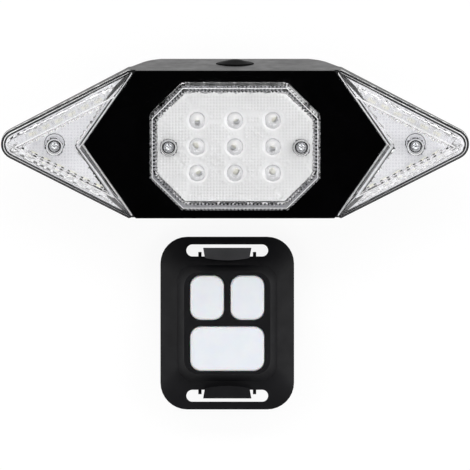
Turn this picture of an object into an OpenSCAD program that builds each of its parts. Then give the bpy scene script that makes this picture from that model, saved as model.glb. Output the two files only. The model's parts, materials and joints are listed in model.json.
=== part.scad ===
// Bicycle turn signal lamp with its handlebar remote, in millimetres.
// Both lie on their backs on the floor, faces up: +X to the right of the faces,
// +Y towards the lamp's upper edge, +Z out of the lamp's face. The remote leans on its pad.

/* [Set] */
// Free space between the lamp's lower edge and the remote's upper edge
set_gap = 12; // [6:0.2:40]
// Sideways offset of the remote from the lamp's middle
remote_shift = -2.6; // [-10:0.1:10]

/* [Lamp outline] */
// Height of the lamp between its two long edges
lamp_h = 49.9; // [47:0.1:54]
// Length of each straight long edge
long_edge = 71; // [70:0.1:76]
// Slope of the arms' outer edges
arm_angle = 27.15; // [25:0.05:30]
// Radius of the arm tips
tip_r = 5.2; // [4:0.1:6.5]
// Distance from the middle to the point of each notch
notch_x = 50.6; // [48:0.1:53]
// Distance from the middle to the outer ends of each notch
notch_root_x = 33.4; // [32.5:0.1:34.2]

/* [Rear housing] */
// Depth from the front face to the back wall
lamp_d = 26; // [25:0.1:32]
// Depth of the arms where they leave the body
arm_root_d = 7.5; // [6.5:0.1:9]
// Depth of the arms at their tips
arm_tip_d = 3.4; // [3.2:0.1:5]
// Width of the body where the arms leave it
body_w = 70; // [68:0.1:72]
// Width of the back wall
back_w = 53.8; // [51:0.1:58]
// Radius between the back wall and the sloping side walls
back_corner_r = 14; // [4:0.1:15]
// Radius along the back wall's two long edges
back_edge_r = 2; // [0.5:0.1:3]
// Radius in the corner under each arm
arm_root_r = 3; // [1:0.1:5]
// Wall thickness of the body
wall = 2.2; // [2:0.1:3]
// Extra thickness of its side walls at the mouth
mouth_t = 1.8; // [1.6:0.1:2.4]
// Free edge of the rim beside the seal groove
seal_margin = 0.6; // [0.4:0.05:0.7]
// Thickness of the flat seals
seal_t = 0.6; // [0.4:0.05:0.7]

/* [Front bezel] */
// Thickness of the bezel and of the side lens flanges
bezel_t = 2; // [1.6:0.1:2.4]
// Seam between the bezel and each side lens
seam = 0.2; // [0.1:0.05:0.4]
// Depth of the centre lens in the bezel
rebate_d = 0.4; // [0.3:0.05:0.8]
// Width of the ledge under the centre lens
ledge_w = 2.2; // [2:0.1:3]

/* [Side lenses] */
// Width of the flat flange along the arms' edges
flange_w = 1.55; // [1.2:0.05:2]
// Width of the low rim outside the flange's step
rim_step_w = 0.7; // [0.5:0.05:1]
// Height of that step
rim_step_h = 0.5; // [0.3:0.05:0.8]
// Width of the sloping band
bevel_w = 3.3; // [2.6:0.1:4]
// Height of the raised face over the bezel
side_rise = 5.5; // [4.5:0.1:7]
// Wall thickness of the side lenses
side_wall = 1.4; // [1.1:0.1:1.8]
// Step of the raised part back from the notch
notch_step = 0.4; // [0.2:0.05:0.6]
// Lean of the raised part along the notch
notch_lean = 0.4; // [0.2:0.05:0.8]
// Distance from the point of each notch to the side lens screw
side_screw_gap = 9.5; // [8.4:0.1:10.4]
// Diameter of the screw column inside each side lens
side_column_d = 6.6; // [6:0.1:7.2]
// Radius of the side lenses' outer corners beside the bezel
lens_corner_r = 1; // [0.6:0.05:1.1]
// Spacing of the light ribs inside the sloping band
prism_pitch = 2.45; // [2.2:0.05:3.5]
// Depth of the light ribs inside the sloping band
prism_d = 0.6; // [0.4:0.05:0.9]
// Width of each light rib inside the sloping band
prism_w = 0.9; // [0.6:0.05:1.2]

/* [Centre lens] */
// Width of the centre lens
centre_w = 56.7; // [54:0.1:58]
// Height of the centre lens
centre_h = 42; // [41:0.1:44]
// Leg of the cut-off corners
corner_cut = 10.7; // [8:0.1:12]
// Height of the centre lens over the bezel
centre_rise = 7.5; // [7:0.1:9]
// Wall thickness of the centre lens between its ribs
centre_wall = 1.7; // [1.4:0.1:2]
// Thickness of its front face
centre_face_t = 1.6; // [1.2:0.1:2]
// Bevel along the edge of the front face
centre_bevel = 0.8; // [0.4:0.1:1.4]
// Spacing of the light ribs inside the wall
rib_pitch = 1.25; // [1:0.05:2]
// Depth of the light ribs
rib_d = 0.8; // [0.4:0.05:1]
// Width of the flat seal under the wall, without its teeth
centre_seal_w = 0.9; // [0.6:0.05:1.2]
// Diameter of the round lenslet over each light
lenslet_d = 4.9; // [4:0.1:5.4]
// Depth of those lenslets
lenslet_h = 0.7; // [0.4:0.05:0.75]
// Distance from the middle to each centre lens screw
centre_screw_x = 22.1; // [21.6:0.1:22.4]
// Diameter of the screw columns inside the centre lens
centre_column_d = 7; // [6.4:0.1:7.2]

/* [Lights] */
// Sideways spacing of the round lights
led_pitch_x = 12.6; // [11:0.1:12.8]
// Upright spacing of the round lights
led_pitch_y = 8.9; // [8:0.1:11]
// Diameter of each round light
led_d = 5; // [4.6:0.1:5.2]
// Height of each round light over its board
led_l = 6.9; // [6.6:0.1:7]
// Diameter of the collar at the foot of each light
led_collar_d = 5.8; // [5.6:0.1:6]
// Height of that collar
led_collar_h = 1; // [0.8:0.1:1.2]
// Height of the white tray round the lights
reflector_h = 5; // [4:0.1:5.4]
// Wall thickness of that tray
reflector_wall = 0.9; // [0.7:0.05:1]
// Diameter of the cup round each light, at its mouth
cup_d = 6.8; // [6.4:0.1:7]
// Thickness of the light board
led_board_t = 1.6; // [1.2:0.1:2]
// Thickness of the boards in the arms
arm_board_t = 1; // [0.8:0.1:1.2]
// Inset of the arm boards from the arms' edges
arm_board_edge = 2.95; // [2.85:0.05:3.6]
// Inset of the arm boards from the notch
arm_board_notch = 2.3; // [2.2:0.1:3]
// Length of each small flat light
chip_l = 3; // [2.4:0.1:3.2]
// Width of each small flat light
chip_w = 1.4; // [1:0.1:1.8]
// Height of each small flat light
chip_h = 0.9; // [0.6:0.1:1.2]
// Inset of the rows of flat lights from the arms' edges
chip_edge = 4.4; // [4.2:0.1:5]
// Spacing of the flat lights along their rows
chip_pitch = 4.9; // [4.2:0.1:5]
// Distance from the rows' meeting point to the first flat light
chip_first = 6.6; // [6:0.1:7]
// Flat lights in each row
chip_count = 6; // [4:1:6]

/* [Screws] */
// Diameter of the screw shanks
shank_d = 2; // [1.8:0.1:2.2]
// Diameter of the screw heads
head_d = 3.4; // [3.2:0.1:3.8]
// Height of the screw heads
head_h = 1.6; // [1.3:0.1:1.8]
// Rise of the domed top of the heads
head_crown = 0.7; // [0.4:0.05:0.9]
// Diameter of the sunk holes over the lens screws
sink_d = 4.8; // [4.6:0.1:5]
// Depth of those sunk holes
sink_l = 3; // [2.6:0.1:3.2]
// Thickness of the rubber washers under the lens screws
washer_t = 0.5; // [0.3:0.05:0.6]
// Width of the cross slots in the heads
slot_w = 0.6; // [0.5:0.05:0.8]
// Depth of the cross slots
slot_d = 0.7; // [0.5:0.05:1]
// Diameter of the screw bosses
boss_d = 6.4; // [5.6:0.1:7]

/* [Inside the lamp] */
// Length of the battery
battery_l = 38; // [32:0.5:40]
// Width of the battery
battery_w = 28; // [22:0.5:32]
// Thickness of the battery
battery_t = 5.8; // [5.2:0.1:6.6]
// Radius of the battery's edges
battery_r = 2; // [1:0.1:2.5]
// Thickness of the foam under the battery
foam_t = 0.4; // [0.3:0.1:1]
// Thickness of the main board
main_board_t = 1.2; // [1:0.1:1.6]
// Width of the main board
main_board_w = 48; // [46:0.5:49]
// Distance from the middle to the back screws, sideways
back_screw_x = 19.8; // [19.7:0.1:20]
// Distance from the middle to the back screws, upright
back_screw_y = 12; // [10:0.1:13]
// Diameter of the back screws' bosses
back_boss_d = 5.2; // [4.8:0.1:5.6]
// Depth of the pilot holes for the back screws, past the wall
back_pilot = 3; // [2.4:0.1:3.2]
// Depth of the pilot holes for the main board's screws
board_pilot = 2.4; // [2:0.1:2.6]
// Depth of the pilot holes for the centre lens screws
centre_pilot = 6; // [4:0.1:8]
// Width of the flat leads to the arm boards
lead_w = 4; // [3:0.1:5]
// Thickness of the flat leads
lead_t = 0.3; // [0.2:0.05:0.4]
// Pins in the link between the two boards
link_pins = 6; // [4:1:8]
// Spacing of those pins
link_pitch = 2.54; // [2:0.01:2.54]
// Width of each pin
link_pin_w = 0.64; // [0.5:0.02:0.7]
// Distance from the middle to the row of pins
link_y = 9; // [8:0.1:12]

/* [Power button] */
// Width of the power button
button_w = 12.6; // [11:0.1:14]
// Height of the power button
button_h = 9.2; // [8:0.1:9.6]
// Height of its dome over the wall
button_proud = 1.5; // [1.2:0.1:1.9]
// Rise of the dome from its rim to its middle
button_crown = 1.2; // [0.6:0.1:1.2]
// Gap between the button and its hole
button_gap = 0.2; // [0.15:0.05:0.4]
// Width of the rim that keeps it in
button_lip = 1.2; // [0.8:0.1:1.4]
// Thickness of that rim
button_lip_t = 1; // [0.8:0.1:1.4]
// Travel of the power button
button_travel = 0.6; // [0.3:0.1:0.9]
// Length of the nub behind it
button_nub = 1; // [0.6:0.1:1.4]
// Height of the button's axis over the main board
switch_axis = 2.5; // [2.3:0.1:2.8]
// Side of the power switch case
switch_w = 6; // [5:0.1:6.5]
// Depth of the power switch case
switch_l = 4; // [3.6:0.1:5]
// Diameter of the switch plungers
plunger_d = 3; // [2.4:0.1:3.2]

/* [Charging socket] */
// Width of the charging socket
socket_w = 8.94; // [8:0.02:9.2]
// Height of the charging socket
socket_h = 3.26; // [3:0.02:3.4]
// Length of the charging socket
socket_l = 7.3; // [6.5:0.1:8]
// Sheet thickness of the socket's shell
socket_t = 0.3; // [0.2:0.05:0.35]
// Width of the contact blade in the socket
blade_w = 6.7; // [6:0.1:6.9]
// Thickness of the contact blade
blade_t = 0.7; // [0.6:0.05:0.8]
// Gap between the contact blade and the flap's stub
blade_gap = 0.6; // [0.4:0.1:1]
// Length of the rubber flap
flap_l = 15; // [14.5:0.1:17]
// Height of the rubber flap
flap_h = 7; // [6.4:0.1:7.4]
// Wall left under the flap
flap_floor = 0.6; // [0.5:0.05:0.8]
// Gap round the flap
flap_gap = 0.2; // [0.2:0.05:0.4]
// Length of the stub that closes the socket
stub_l = 1.5; // [1:0.1:1.6]
// Gap between the stub and the socket, sideways
stub_gap = 0.65; // [0.6:0.05:1]
// Length of the part of the flap that stays in the wall
anchor_l = 3.4; // [3:0.1:5]
// Diameter of the pin that holds it
anchor_pin_d = 2; // [1.6:0.1:2.4]

/* [Seat post cradle] */
// Height of the cradle behind the lamp
cradle_h = 11; // [10.8:0.1:14]
// Radius of the seat post that the cradle takes
post_r = 15.8; // [15:0.1:16]
// Thickness of the rubber lining
lining_t = 1.6; // [1.2:0.1:1.8]
// Depth of the post's crown inside the cradle
saddle_d = 8; // [7.8:0.1:8.4]
// Width of the saddle across the post
saddle_w = 35; // [34.8:0.1:35.2]
// Length of the saddle along the post
saddle_l = 30; // [26:0.5:34]
// Width of the mounting plate
plate_w = 45; // [44:0.2:47]
// Length of the mounting plate
plate_l = 33; // [31:0.5:36]
// Thickness of the mounting plate
plate_t = 2.5; // [2.2:0.1:3]
// Corner radius of the mounting plate
plate_r = 4; // [2:0.1:5]
// Width of the ear round each screw hole in the plate
ear_w = 1.2; // [1:0.1:1.3]
// Length of the hooks for the rubber ring
hook_l = 14; // [10:0.5:18]
// Reach of the hooks
hook_reach = 4.5; // [3.5:0.1:5]
// Thickness of the hooks
hook_t = 2.2; // [1.8:0.1:2.6]
// Height of the lip on each hook
hook_lip = 2; // [1.4:0.1:2.4]
// Height of the hooks over the floor
hook_z = 1.4; // [1:0.1:1.8]

/* [Remote body] */
// Width of the remote
remote_w = 44.8; // [43.5:0.1:48]
// Length of the remote
remote_l = 57.9; // [57.6:0.1:64]
// Corner radius of the remote
remote_r = 9; // [6:0.1:11]
// Thickness of the remote's rim
rim_t = 2.2; // [1.8:0.1:2.6]
// Rise from the rim to the foot of the raised block
shoulder_rise = 2.5; // [2:0.1:3]
// Width of the raised block at its foot
block_w = 33.5; // [33:0.1:34.5]
// Length of the raised block at its foot
block_l = 38.8; // [38.6:0.1:40.5]
// Corner radius of the raised block at its foot
block_r = 6; // [5:0.1:8]
// Height of the raised block
block_rise = 5; // [4.8:0.1:6]
// Slope of the block's sides, as their run
block_slope = 2.3; // [1.8:0.1:2.6]
// Thickness of the top panel
panel_t = 1.6; // [1.2:0.1:2]
// Wall of the raised block at its foot
block_wall = 1.6; // [1.3:0.1:2]
// Length of the strap slots
slot_l = 27.4; // [25:0.1:30]
// Height of the strap slots
slot_h = 4; // [3.6:0.1:4.2]
// Bar left outside each strap slot
slot_bar = 2.6; // [2.2:0.1:3]
// Width of the strap hooks in the slots
tongue_w = 16.2; // [14:0.1:18]
// Gap between each hook's tip and the outer bar
tongue_gap = 1.1; // [1:0.1:1.8]
// Thickness of the strap hooks beside their crown
tongue_t = 2.4; // [1.8:0.1:2.6]
// Rise of the crown along the middle of each hook
tongue_crown = 0.5; // [0.3:0.1:0.8]
// Taper of each hook from its tip to its root, on each side
tongue_taper = 0.6; // [0.2:0.1:1]
// Length of each hook over the rim
tongue_root = 1.3; // [1.1:0.1:2]
// Bow of the hook's end over the rim
tongue_bow = 0.8; // [0.4:0.1:1]
// Height of the strap hooks over the rim's underside
tongue_lift = 2.8; // [2:0.1:3]
// Width of the small lugs beside each hook
lug_w = 1.1; // [0.8:0.1:1.6]
// Reach of those lugs
lug_reach = 1.5; // [1:0.1:2]
// Gap between each lug and the hook
lug_gap = 0.5; // [0.3:0.1:0.8]

/* [Remote keys] */
// Width of the field of keys
field_w = 24.6; // [24:0.1:25.4]
// Length of the field of keys
field_l = 31.7; // [30:0.1:32]
// Space between the keys
key_space = 2.4; // [1.8:0.1:2.6]
// Corner radius of the keys
key_r = 3.4; // [2.5:0.1:4]
// Height of the keys over the panel
key_proud = 1; // [0.9:0.1:1.4]
// Rise of the hipped top of the keys
key_hip = 0.3; // [0.2:0.05:0.5]
// Run of the hipped top of the keys
key_hip_run = 3; // [2:0.1:4]
// Rounding of the keys' upper edges
key_edge = 0.5; // [0.3:0.1:0.7]
// Gap between each key and its hole
key_gap = 0.25; // [0.15:0.05:0.3]
// Width of the rim that keeps a key in
key_lip = 0.7; // [0.5:0.05:0.75]
// Thickness of that rim
key_lip_t = 0.8; // [0.6:0.1:1]
// Travel of the keys
key_travel = 0.6; // [0.3:0.1:0.7]
// Length of the nub under each key
key_nub = 0.5; // [0.3:0.1:0.7]
// Height of the key switches
key_switch_h = 1.8; // [1.6:0.1:2.2]
// Side of the key switches
key_switch_w = 5.2; // [4.6:0.1:6]

/* [Inside the remote] */
// Thickness of the remote's board
remote_board_t = 1; // [0.8:0.1:1.2]
// Diameter of the coin cell
cell_d = 20; // [16:0.1:20]
// Sheet thickness of the coin cell's clip
clip_t = 0.4; // [0.3:0.05:0.5]
// Opening of the clip for the cell
clip_mouth = 9; // [6:0.5:12]
// Width of the remote's base
base_w = 41.2; // [40.8:0.1:42]
// Length of the remote's base
base_l = 43.6; // [43:0.1:44]
// Thickness of the remote's base
base_t = 2.2; // [2:0.1:2.6]
// Width of the seal between base and cover
base_seal_w = 0.8; // [0.6:0.1:1]
// Distance from the middle to the base screws, sideways
base_screw_x = 18; // [17.9:0.1:18.1]
// Distance from the middle to the base screws, lengthwise
base_screw_y = 15.4; // [14.5:0.1:17]
// Length of the base screws in the cover
base_pilot = 2.4; // [1.8:0.1:2.6]

/* [Handlebar pad] */
// Height of the rubber pad under the remote's middle
pad_h = 4.8; // [4.4:0.1:6]
// Slope of the pad, which leans the remote to one side of the handlebar
pad_slope = 10; // [0:0.5:11]
// Length of the pad along the handlebar
pad_l = 30; // [24:0.5:32]
// Width of the pad across the handlebar
pad_w = 24; // [23.4:0.2:26]
// Corner radius of the pad
pad_r = 2; // [1:0.1:4]
// Radius of the handlebar that the pad takes
bar_r = 15.9; // [15.9:0.1:17.5]
// Least thickness of the pad, in its middle
pad_t = 1.2; // [1.1:0.1:1.6]

/* [Hidden] */

$fn = 64;
// Steps in each rounded corner of an outline
arc_steps = 10;
// Overshoot of a cut past the face that it opens
over = 1;
// Thickness of the slices that a sloping solid is spanned between
slice = 0.01;
// Slip fit between pieces that stay together, on each side
fit = 0.05;
// Loose fit round boards and flat pieces, on each side
loose = 0.2;
// Clearance round a screw's shank in the piece under its head, on each side
screw_clear = 0.3;
// Smallest radius that an inset tip or corner keeps
least_r = 0.3;
// Facets of wide curves, and of the sloping solids of the remote
fine_fn = 128;
coarse_fn = 32;

// Colours
black = "#17181a";
black_gloss = "#08080a";
rubber = "#26272a";
clear = [0.86, 0.9, 0.93, 0.45];
steel = "#b9bcc0";
white = "#f1f2f4";
board_green = "#1e5b3a";
tin = "#9ea2a8";
resin = "#e9eef2";
yellow = "#f4e3b0";
foil = "#c9ccd2";
foam = "#3b3c40";
case_black = "#2b2c30";
gold = "#c8b03a";

// Levels of the lamp, from the floor up
half_h = lamp_h / 2;
z_back = cradle_h;
z_floor = z_back + wall;
z_face = z_back + lamp_d;
z_seat = z_face - bezel_t;
z_foot = z_face - rebate_d;
z_root = z_face - arm_root_d;
z_tip = z_face - arm_tip_d;
z_led_board = z_seat - led_board_t;
z_main = z_floor + foam_t + battery_t;
z_main_top = z_main + main_board_t;
z_button = z_main_top + switch_axis;
z_socket = z_main_top + socket_h / 2;
z_centre_head = z_face + centre_rise - sink_l;
z_side_head = z_face + side_rise - sink_l;

// Outline of the lamp: the sharp meeting point of an arm's edges, and the tip itself
apex_x = long_edge / 2 + half_h / tan(arm_angle);
tip_x = apex_x - tip_r / sin(arm_angle) + tip_r;
notch_w = notch_x - notch_root_x;
notch_len = norm([notch_w, half_h]);
side_screw_x = notch_x + side_screw_gap;

// Inside of the body: the sloping side walls, measured level, thicker towards the mouth
side_run = (body_w - back_w) / 2;
side_height = z_root - z_back;
side_t = wall * norm([side_run, side_height]) / side_height;
floor_x = back_w / 2 + wall * side_run / side_height - side_t;
mouth_x = body_w / 2 - side_t - mouth_t;
mouth_y = half_h - wall;
seal_w = wall - 2 * seal_margin;

// Depth of an arm under its lens at a distance from the middle
function arm_depth(x) =
    arm_root_d + (arm_tip_d - arm_root_d) * (x - body_w / 2) / (tip_x - body_w / 2) - bezel_t;
// Floor left under the side lens screws
arm_floor = 0.7;
side_pilot = arm_depth(side_screw_x) - arm_floor;

// Horizontal wall of the side lenses behind the sloping band
side_wall_level = side_wall * norm([bevel_w, side_rise]) / side_rise;
pilot_r = shank_d / 2 + fit;
through_r = shank_d / 2 + screw_clear;
cross_l = 0.72 * head_d;
head_dome_r = (pow(head_d / 2, 2) + pow(head_crown, 2)) / (2 * head_crown);
column_stand_r = side_column_d / 2 + loose;

// Teeth inside the centre lens's seal, and the curve of the lenslets
seal_tooth = ledge_w - centre_seal_w - 2 * fit;
lenslet_r = (pow(lenslet_d / 2, 2) + pow(lenslet_h, 2)) / (2 * lenslet_h);

// Point of the notch in the arm boards
x_arm_board = notch_x + arm_board_notch * notch_len / half_h;

// Lamp seals in the arms: inset of the groove from the edges and the notch
arm_seal_edge = 0.45;
arm_seal_w = 1.9;
arm_seal_notch = 0.35;
arm_seal_notch_w = 0.5;

// Power button and its switch, counted along +Y from the lamp's middle
y_button_back = half_h - wall - button_lip_t;
y_nub = y_button_back - button_nub;
switch_room = 0.8;
y_switch = y_nub - button_travel - switch_room;
plunger_in = 1;
flap_t = wall - flap_floor;
x_hinge = flap_l / 2;
anchor_head = 0.8;
y_main_low = -(half_h - wall - anchor_head - loose);
y_main_high = y_button_back - button_travel - 3 * loose;

// Seat post cradle
post_z = saddle_d - post_r;
saddle_r = post_r + lining_t;
lining_edge = 0.4;

// Reach of the leaning remote's upper and lower edges from the middle of its pad
remote_high = remote_l / 2 * cos(pad_slope) + (base_t + rim_t) * sin(pad_slope);
remote_low = remote_l / 2 * cos(pad_slope) - base_t * sin(pad_slope);

// Places of the lamp and the remote on the floor, middle of the set at the origin
lamp_y = (set_gap + remote_high + remote_low - button_proud) / 2;
remote_y = lamp_y - half_h - set_gap - remote_high;

// Levels of the remote, from the floor up
z_base_top = pad_h + base_t;
z_rim = z_base_top + rim_t;
z_shoulder = z_rim + shoulder_rise;
z_panel = z_shoulder + block_rise;
z_lip_top = z_panel - panel_t;
z_lip = z_lip_top - key_lip_t;
z_nub = z_lip - key_nub;
key_room = 0.2;
z_key_switch = z_nub - key_travel - key_room;
z_board_top = z_key_switch - key_switch_h;
z_board = z_board_top - remote_board_t;
cell_t = z_board - z_base_top;
key_switch_floor = 0.3;
key_bore = key_switch_h - key_switch_floor;

// Keys
small_w = (field_w - key_space) / 2;
key_l = (field_l - key_space) / 2;
key_x = (small_w + key_space) / 2;
key_y = (key_l + key_space) / 2;
inner_w = field_w + 2 * (key_lip + key_gap);
inner_l = field_l + 2 * (key_lip + key_gap);
inner_r = key_r + key_lip + key_gap;
mouth_w = block_w - 2 * block_wall;
mouth_l = block_l - 2 * block_wall;
mouth_r = block_r - block_wall;
base_post_r = 1.8;
base_post_inset = 3.2;

// Handlebar pad
bar_z = pad_h - pad_t - bar_r;

// Strap slots, counted along Y from the remote's middle
slot_y = remote_l / 2 - slot_bar - slot_h / 2;
tongue_tip = slot_y + slot_h / 2 - tongue_gap;
z_tongue = z_base_top + tongue_lift;
tongue_r = 0.4 * tongue_t;
tongue_crown_r = (pow(tongue_w / 2, 2) + pow(tongue_crown, 2)) / (2 * tongue_crown);

// Points of one rounded corner at p, between its neighbours a and b
function unit(v) = v / norm(v);
function turned(v, angle) =
    [v.x * cos(angle) - v.y * sin(angle), v.x * sin(angle) + v.y * cos(angle)];
function corner_arc(a, p, b, r) =
    let (u = unit(a - p), v = unit(b - p), half = acos(u * v) / 2)
    let (c = p + unit(u + v) * r / sin(half))
    let (s = p + u * r / tan(half) - c, e = p + v * r / tan(half) - c)
    let (sweep = sign(s.x * e.y - s.y * e.x) * (180 - 2 * half))
    r <= 0 ? [p] : [for (k = [0:arc_steps]) c + turned(s, sweep * k / arc_steps)];

// A polygon's points with each corner rounded by its own radius
function rounded(points, radii) =
    let (n = len(points))
    [for (k = [0:n - 1])
        each corner_arc(points[(k + n - 1) % n], points[k], points[(k + 1) % n], radii[k])];

// The lamp's whole outline
function lamp_points() =
    let (x = long_edge / 2, y = half_h)
    rounded([[x, y], [apex_x, 0], [x, -y], [-x, -y], [-apex_x, 0], [-x, y]],
        [0, tip_r, 0, 0, tip_r, 0]);

// Upper corners of the right arrowhead, inset from its edge and its notch
function arrow_corners(edge, notch) =
    let (y = half_h - edge)
    let (x_edge = apex_x - (edge + y * cos(arm_angle)) / sin(arm_angle))
    let (x_notch = notch_x + (notch * notch_len - y * notch_w) / half_h)
    let (span = (apex_x - notch_x - edge / sin(arm_angle)) * half_h - notch * notch_len)
    let (y_meet = span / (half_h / tan(arm_angle) - notch_w))
    let (x_meet = apex_x - (edge + y_meet * cos(arm_angle)) / sin(arm_angle))
    x_notch < x_edge ? [[x_notch, y], [x_edge, y]] : [[x_meet, y_meet]];

// The right arrowhead: notch point, upper corners, tip, lower corners. The corners beside the
// bezel take a radius, less where the short flat between them leaves no room for it
function arrow_points(edge, notch, r = least_r) =
    let (up = arrow_corners(edge, notch), n = len(up))
    let (down = [for (k = [n - 1:-1:0]) [up[k].x, -up[k].y]])
    let (point = [notch_x + notch * notch_len / half_h, 0])
    let (tip = [apex_x - edge / sin(arm_angle), 0])
    let (room = n > 1 ? 0.9 * (up[1].x - up[0].x) * tan(atan2(half_h, notch_w) / 2) : r)
    let (ends = n > 1 ? [min(r, room), 0] : [r])
    let (ends_down = n > 1 ? [0, min(r, room)] : [r])
    rounded(concat([point], up, [tip], down),
        concat([0], ends, [max(tip_r - edge, least_r)], ends_down));

// The bezel's six-sided outline
function bezel_points() =
    let (x = notch_x - seam * notch_len / half_h)
    let (x_end = x - notch_w)
    [[x_end, half_h], [x, 0], [x_end, -half_h], [-x_end, -half_h], [-x, 0], [-x_end, half_h]];

// The centre lens's eight-sided outline, inset
function centre_points(inset) =
    let (x = centre_w / 2 - inset, y = centre_h / 2 - inset)
    let (cut = corner_cut - inset * (2 - sqrt(2)))
    [[x - cut, y], [x, y - cut], [x, cut - y], [x - cut, -y],
        [cut - x, -y], [-x, cut - y], [-x, y - cut], [cut - x, y]];

// The same outline with a saw-tooth rib at each pitch along its sides
function ribbed_points(points) =
    let (n = len(points))
    [for (k = [0:n - 1])
        let (side = points[(k + 1) % n] - points[k])
        let (teeth = max(1, round(norm(side) / rib_pitch)))
        let (inward = unit([side.y, -side.x]) * rib_d)
        for (t = [0:teeth - 1], half = [0, 1])
            points[k] + side * (t + half / 2) / teeth + inward * half];

// The same outline with a square tooth pointing inward at each pitch, for the seal's inner edge.
// The places next to a corner stay free, where the teeth of two sides would meet
function toothed_points(points) =
    let (n = len(points))
    [for (k = [0:n - 1])
        let (side = points[(k + 1) % n] - points[k])
        let (places = max(3, round(norm(side) / rib_pitch)))
        let (inward = unit([side.y, -side.x]) * seal_tooth)
        for (t = [1:places - 2], at = [[0.25, 0], [0.25, 1], [0.75, 1], [0.75, 0]])
            points[k] + side * (t + at.x) / places + inward * at.y];

// Places of the round lights and of the screws
led_places = [for (i = [-1:1], j = [-1:1]) [i * led_pitch_x, j * led_pitch_y]];
centre_screw_places = [for (s = [-1, 1]) [s * centre_screw_x, 0]];
side_screw_places = [for (s = [-1, 1]) [s * side_screw_x, 0]];
back_screw_places = [for (i = [-1, 1], j = [-1, 1]) [i * back_screw_x, j * back_screw_y]];
base_screw_places = [for (i = [-1, 1], j = [-1, 1]) [i * base_screw_x, j * base_screw_y]];
key_places = [[-key_x, key_y], [key_x, key_y], [0, -key_y]];

// Carries a piece of the lamp, or of the remote, to its place
module on_lamp() { translate([0, lamp_y, 0]) children(); }
module on_remote() {
    translate([remote_shift, remote_y, 0]) on_slope() translate([0, 0, -pad_h]) children();
}

// Leans a piece on the pad's sloping top
module on_slope() { translate([0, 0, pad_h]) rotate([-pad_slope, 0, 0]) children(); }

// Puts the same piece at each of several places
module at_each(places, z) { for (p = places) translate([p.x, p.y, z]) children(); }

// A plate from one level up to another
module plate(z, top) { translate([0, 0, z]) linear_extrude(top - z) children(); }

// A drawing of X and Z pushed out along Y, and one of Y and Z along X, both ways
module along_y(length) { rotate([90, 0, 0]) linear_extrude(length, center = true) children(); }
module along_x(length) {
    rotate([90, 0, 90]) linear_extrude(length, center = true) children();
}

module round_rect(w, l, r) {
    square([w - 2 * r, l], center = true);
    square([w, l - 2 * r], center = true);
    for (i = [-1, 1], j = [-1, 1]) translate([i * (w / 2 - r), j * (l / 2 - r)]) circle(r);
}

// A bar with round ends, lying along X
module round_bar(w, l) {
    square([w - l, l], center = true);
    for (i = [-1, 1]) translate([i * (w - l) / 2, 0]) circle(l / 2);
}

// A pointed oval lying along X: what two equal circles share
module pointed_oval(w, h) {
    r = (w * w + h * h) / (4 * h);
    intersection() {
        translate([0, r - h / 2]) circle(r);
        translate([0, h / 2 - r]) circle(r);
    }
}

// A sloping solid between two rounded rectangles
module sloped(w0, l0, r0, z0, w1, l1, r1, z1) {
    hull() {
        plate(z0, z0 + slice) round_rect(w0, l0, r0, $fn = coarse_fn);
        plate(z1 - slice, z1) round_rect(w1, l1, r1, $fn = coarse_fn);
    }
}

// A cross-head screw, its head standing on z = 0 and its shank pointing down
module screw(length) {
    difference() {
        union() {
            intersection() {
                cylinder(h = head_h, d = head_d);
                translate([0, 0, head_h - head_dome_r]) sphere(head_dome_r);
            }
            translate([0, 0, -length]) cylinder(h = length, d = shank_d);
        }
        translate([0, 0, head_h - slot_d]) for (turn = [0, 90]) rotate(turn)
            translate([-cross_l / 2, -slot_w / 2, 0]) cube([cross_l, slot_w, over]);
    }
}

// The right half of a pair, or its mirror image on the left
module on_side(side) { mirror([side < 0 ? 1 : 0, 0, 0]) children(); }

// Lamp: the black tub with its two arms
module body_plan() {
    half = back_w / 2;
    root = body_w / 2;
    end = tip_x + over;
    right = [[half, z_back], [root, z_root], [end, z_tip], [end, z_seat]];
    left = [for (k = [3:-1:0]) [-right[k].x, right[k].y]];
    polygon(rounded(concat(right, left),
        [back_corner_r, arm_root_r, 0, 0, 0, 0, arm_root_r, back_corner_r]));
}

module body_section() {
    polygon(rounded([[-half_h, z_seat], [-half_h, z_back], [half_h, z_back], [half_h, z_seat]],
        [0, back_edge_r, back_edge_r, 0]));
}

module cavity_plan() {
    right = [[floor_x, z_floor], [mouth_x, z_root], [mouth_x, z_seat + over]];
    left = [for (k = [2:-1:0]) [-right[k].x, right[k].y]];
    inner_r = max(back_corner_r - wall, least_r);
    polygon(rounded(concat(right, left), [inner_r, 0, 0, 0, 0, inner_r]));
}

module housing_bosses() {
    at_each(centre_screw_places, z_back + wall / 2)
        cylinder(h = z_led_board - z_back - wall / 2, d = boss_d);
    at_each(back_screw_places, z_back + wall / 2)
        cylinder(h = z_main - z_back - wall / 2, d = back_boss_d);
}

module housing_pilots() {
    at_each(centre_screw_places, z_led_board - centre_pilot)
        cylinder(h = centre_pilot + over, r = pilot_r);
    at_each(back_screw_places, z_back - over)
        cylinder(h = wall + back_pilot + over, r = pilot_r);
    at_each(back_screw_places, z_main - board_pilot)
        cylinder(h = board_pilot + over, r = pilot_r);
}

// Pocket, seal groove, lead channel and screw hole in the right arm's seat
module arm_cuts() {
    difference() {
        plate(z_seat - arm_board_t, z_seat + over)
            polygon(arrow_points(arm_board_edge - loose, arm_board_notch - loose));
        translate([side_screw_x, 0, z_back]) cylinder(h = lamp_d, d = side_column_d);
    }
    plate(z_seat - seal_t, z_seat + over) arm_seal_drawing();
    translate([mouth_x - over, -lead_w / 2 - loose, z_seat - arm_board_t])
        cube([x_arm_board - mouth_x + over, lead_w + 2 * loose, arm_board_t + over]);
    translate([side_screw_x, 0, z_seat - side_pilot])
        cylinder(h = side_pilot + over, r = pilot_r);
}

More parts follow.
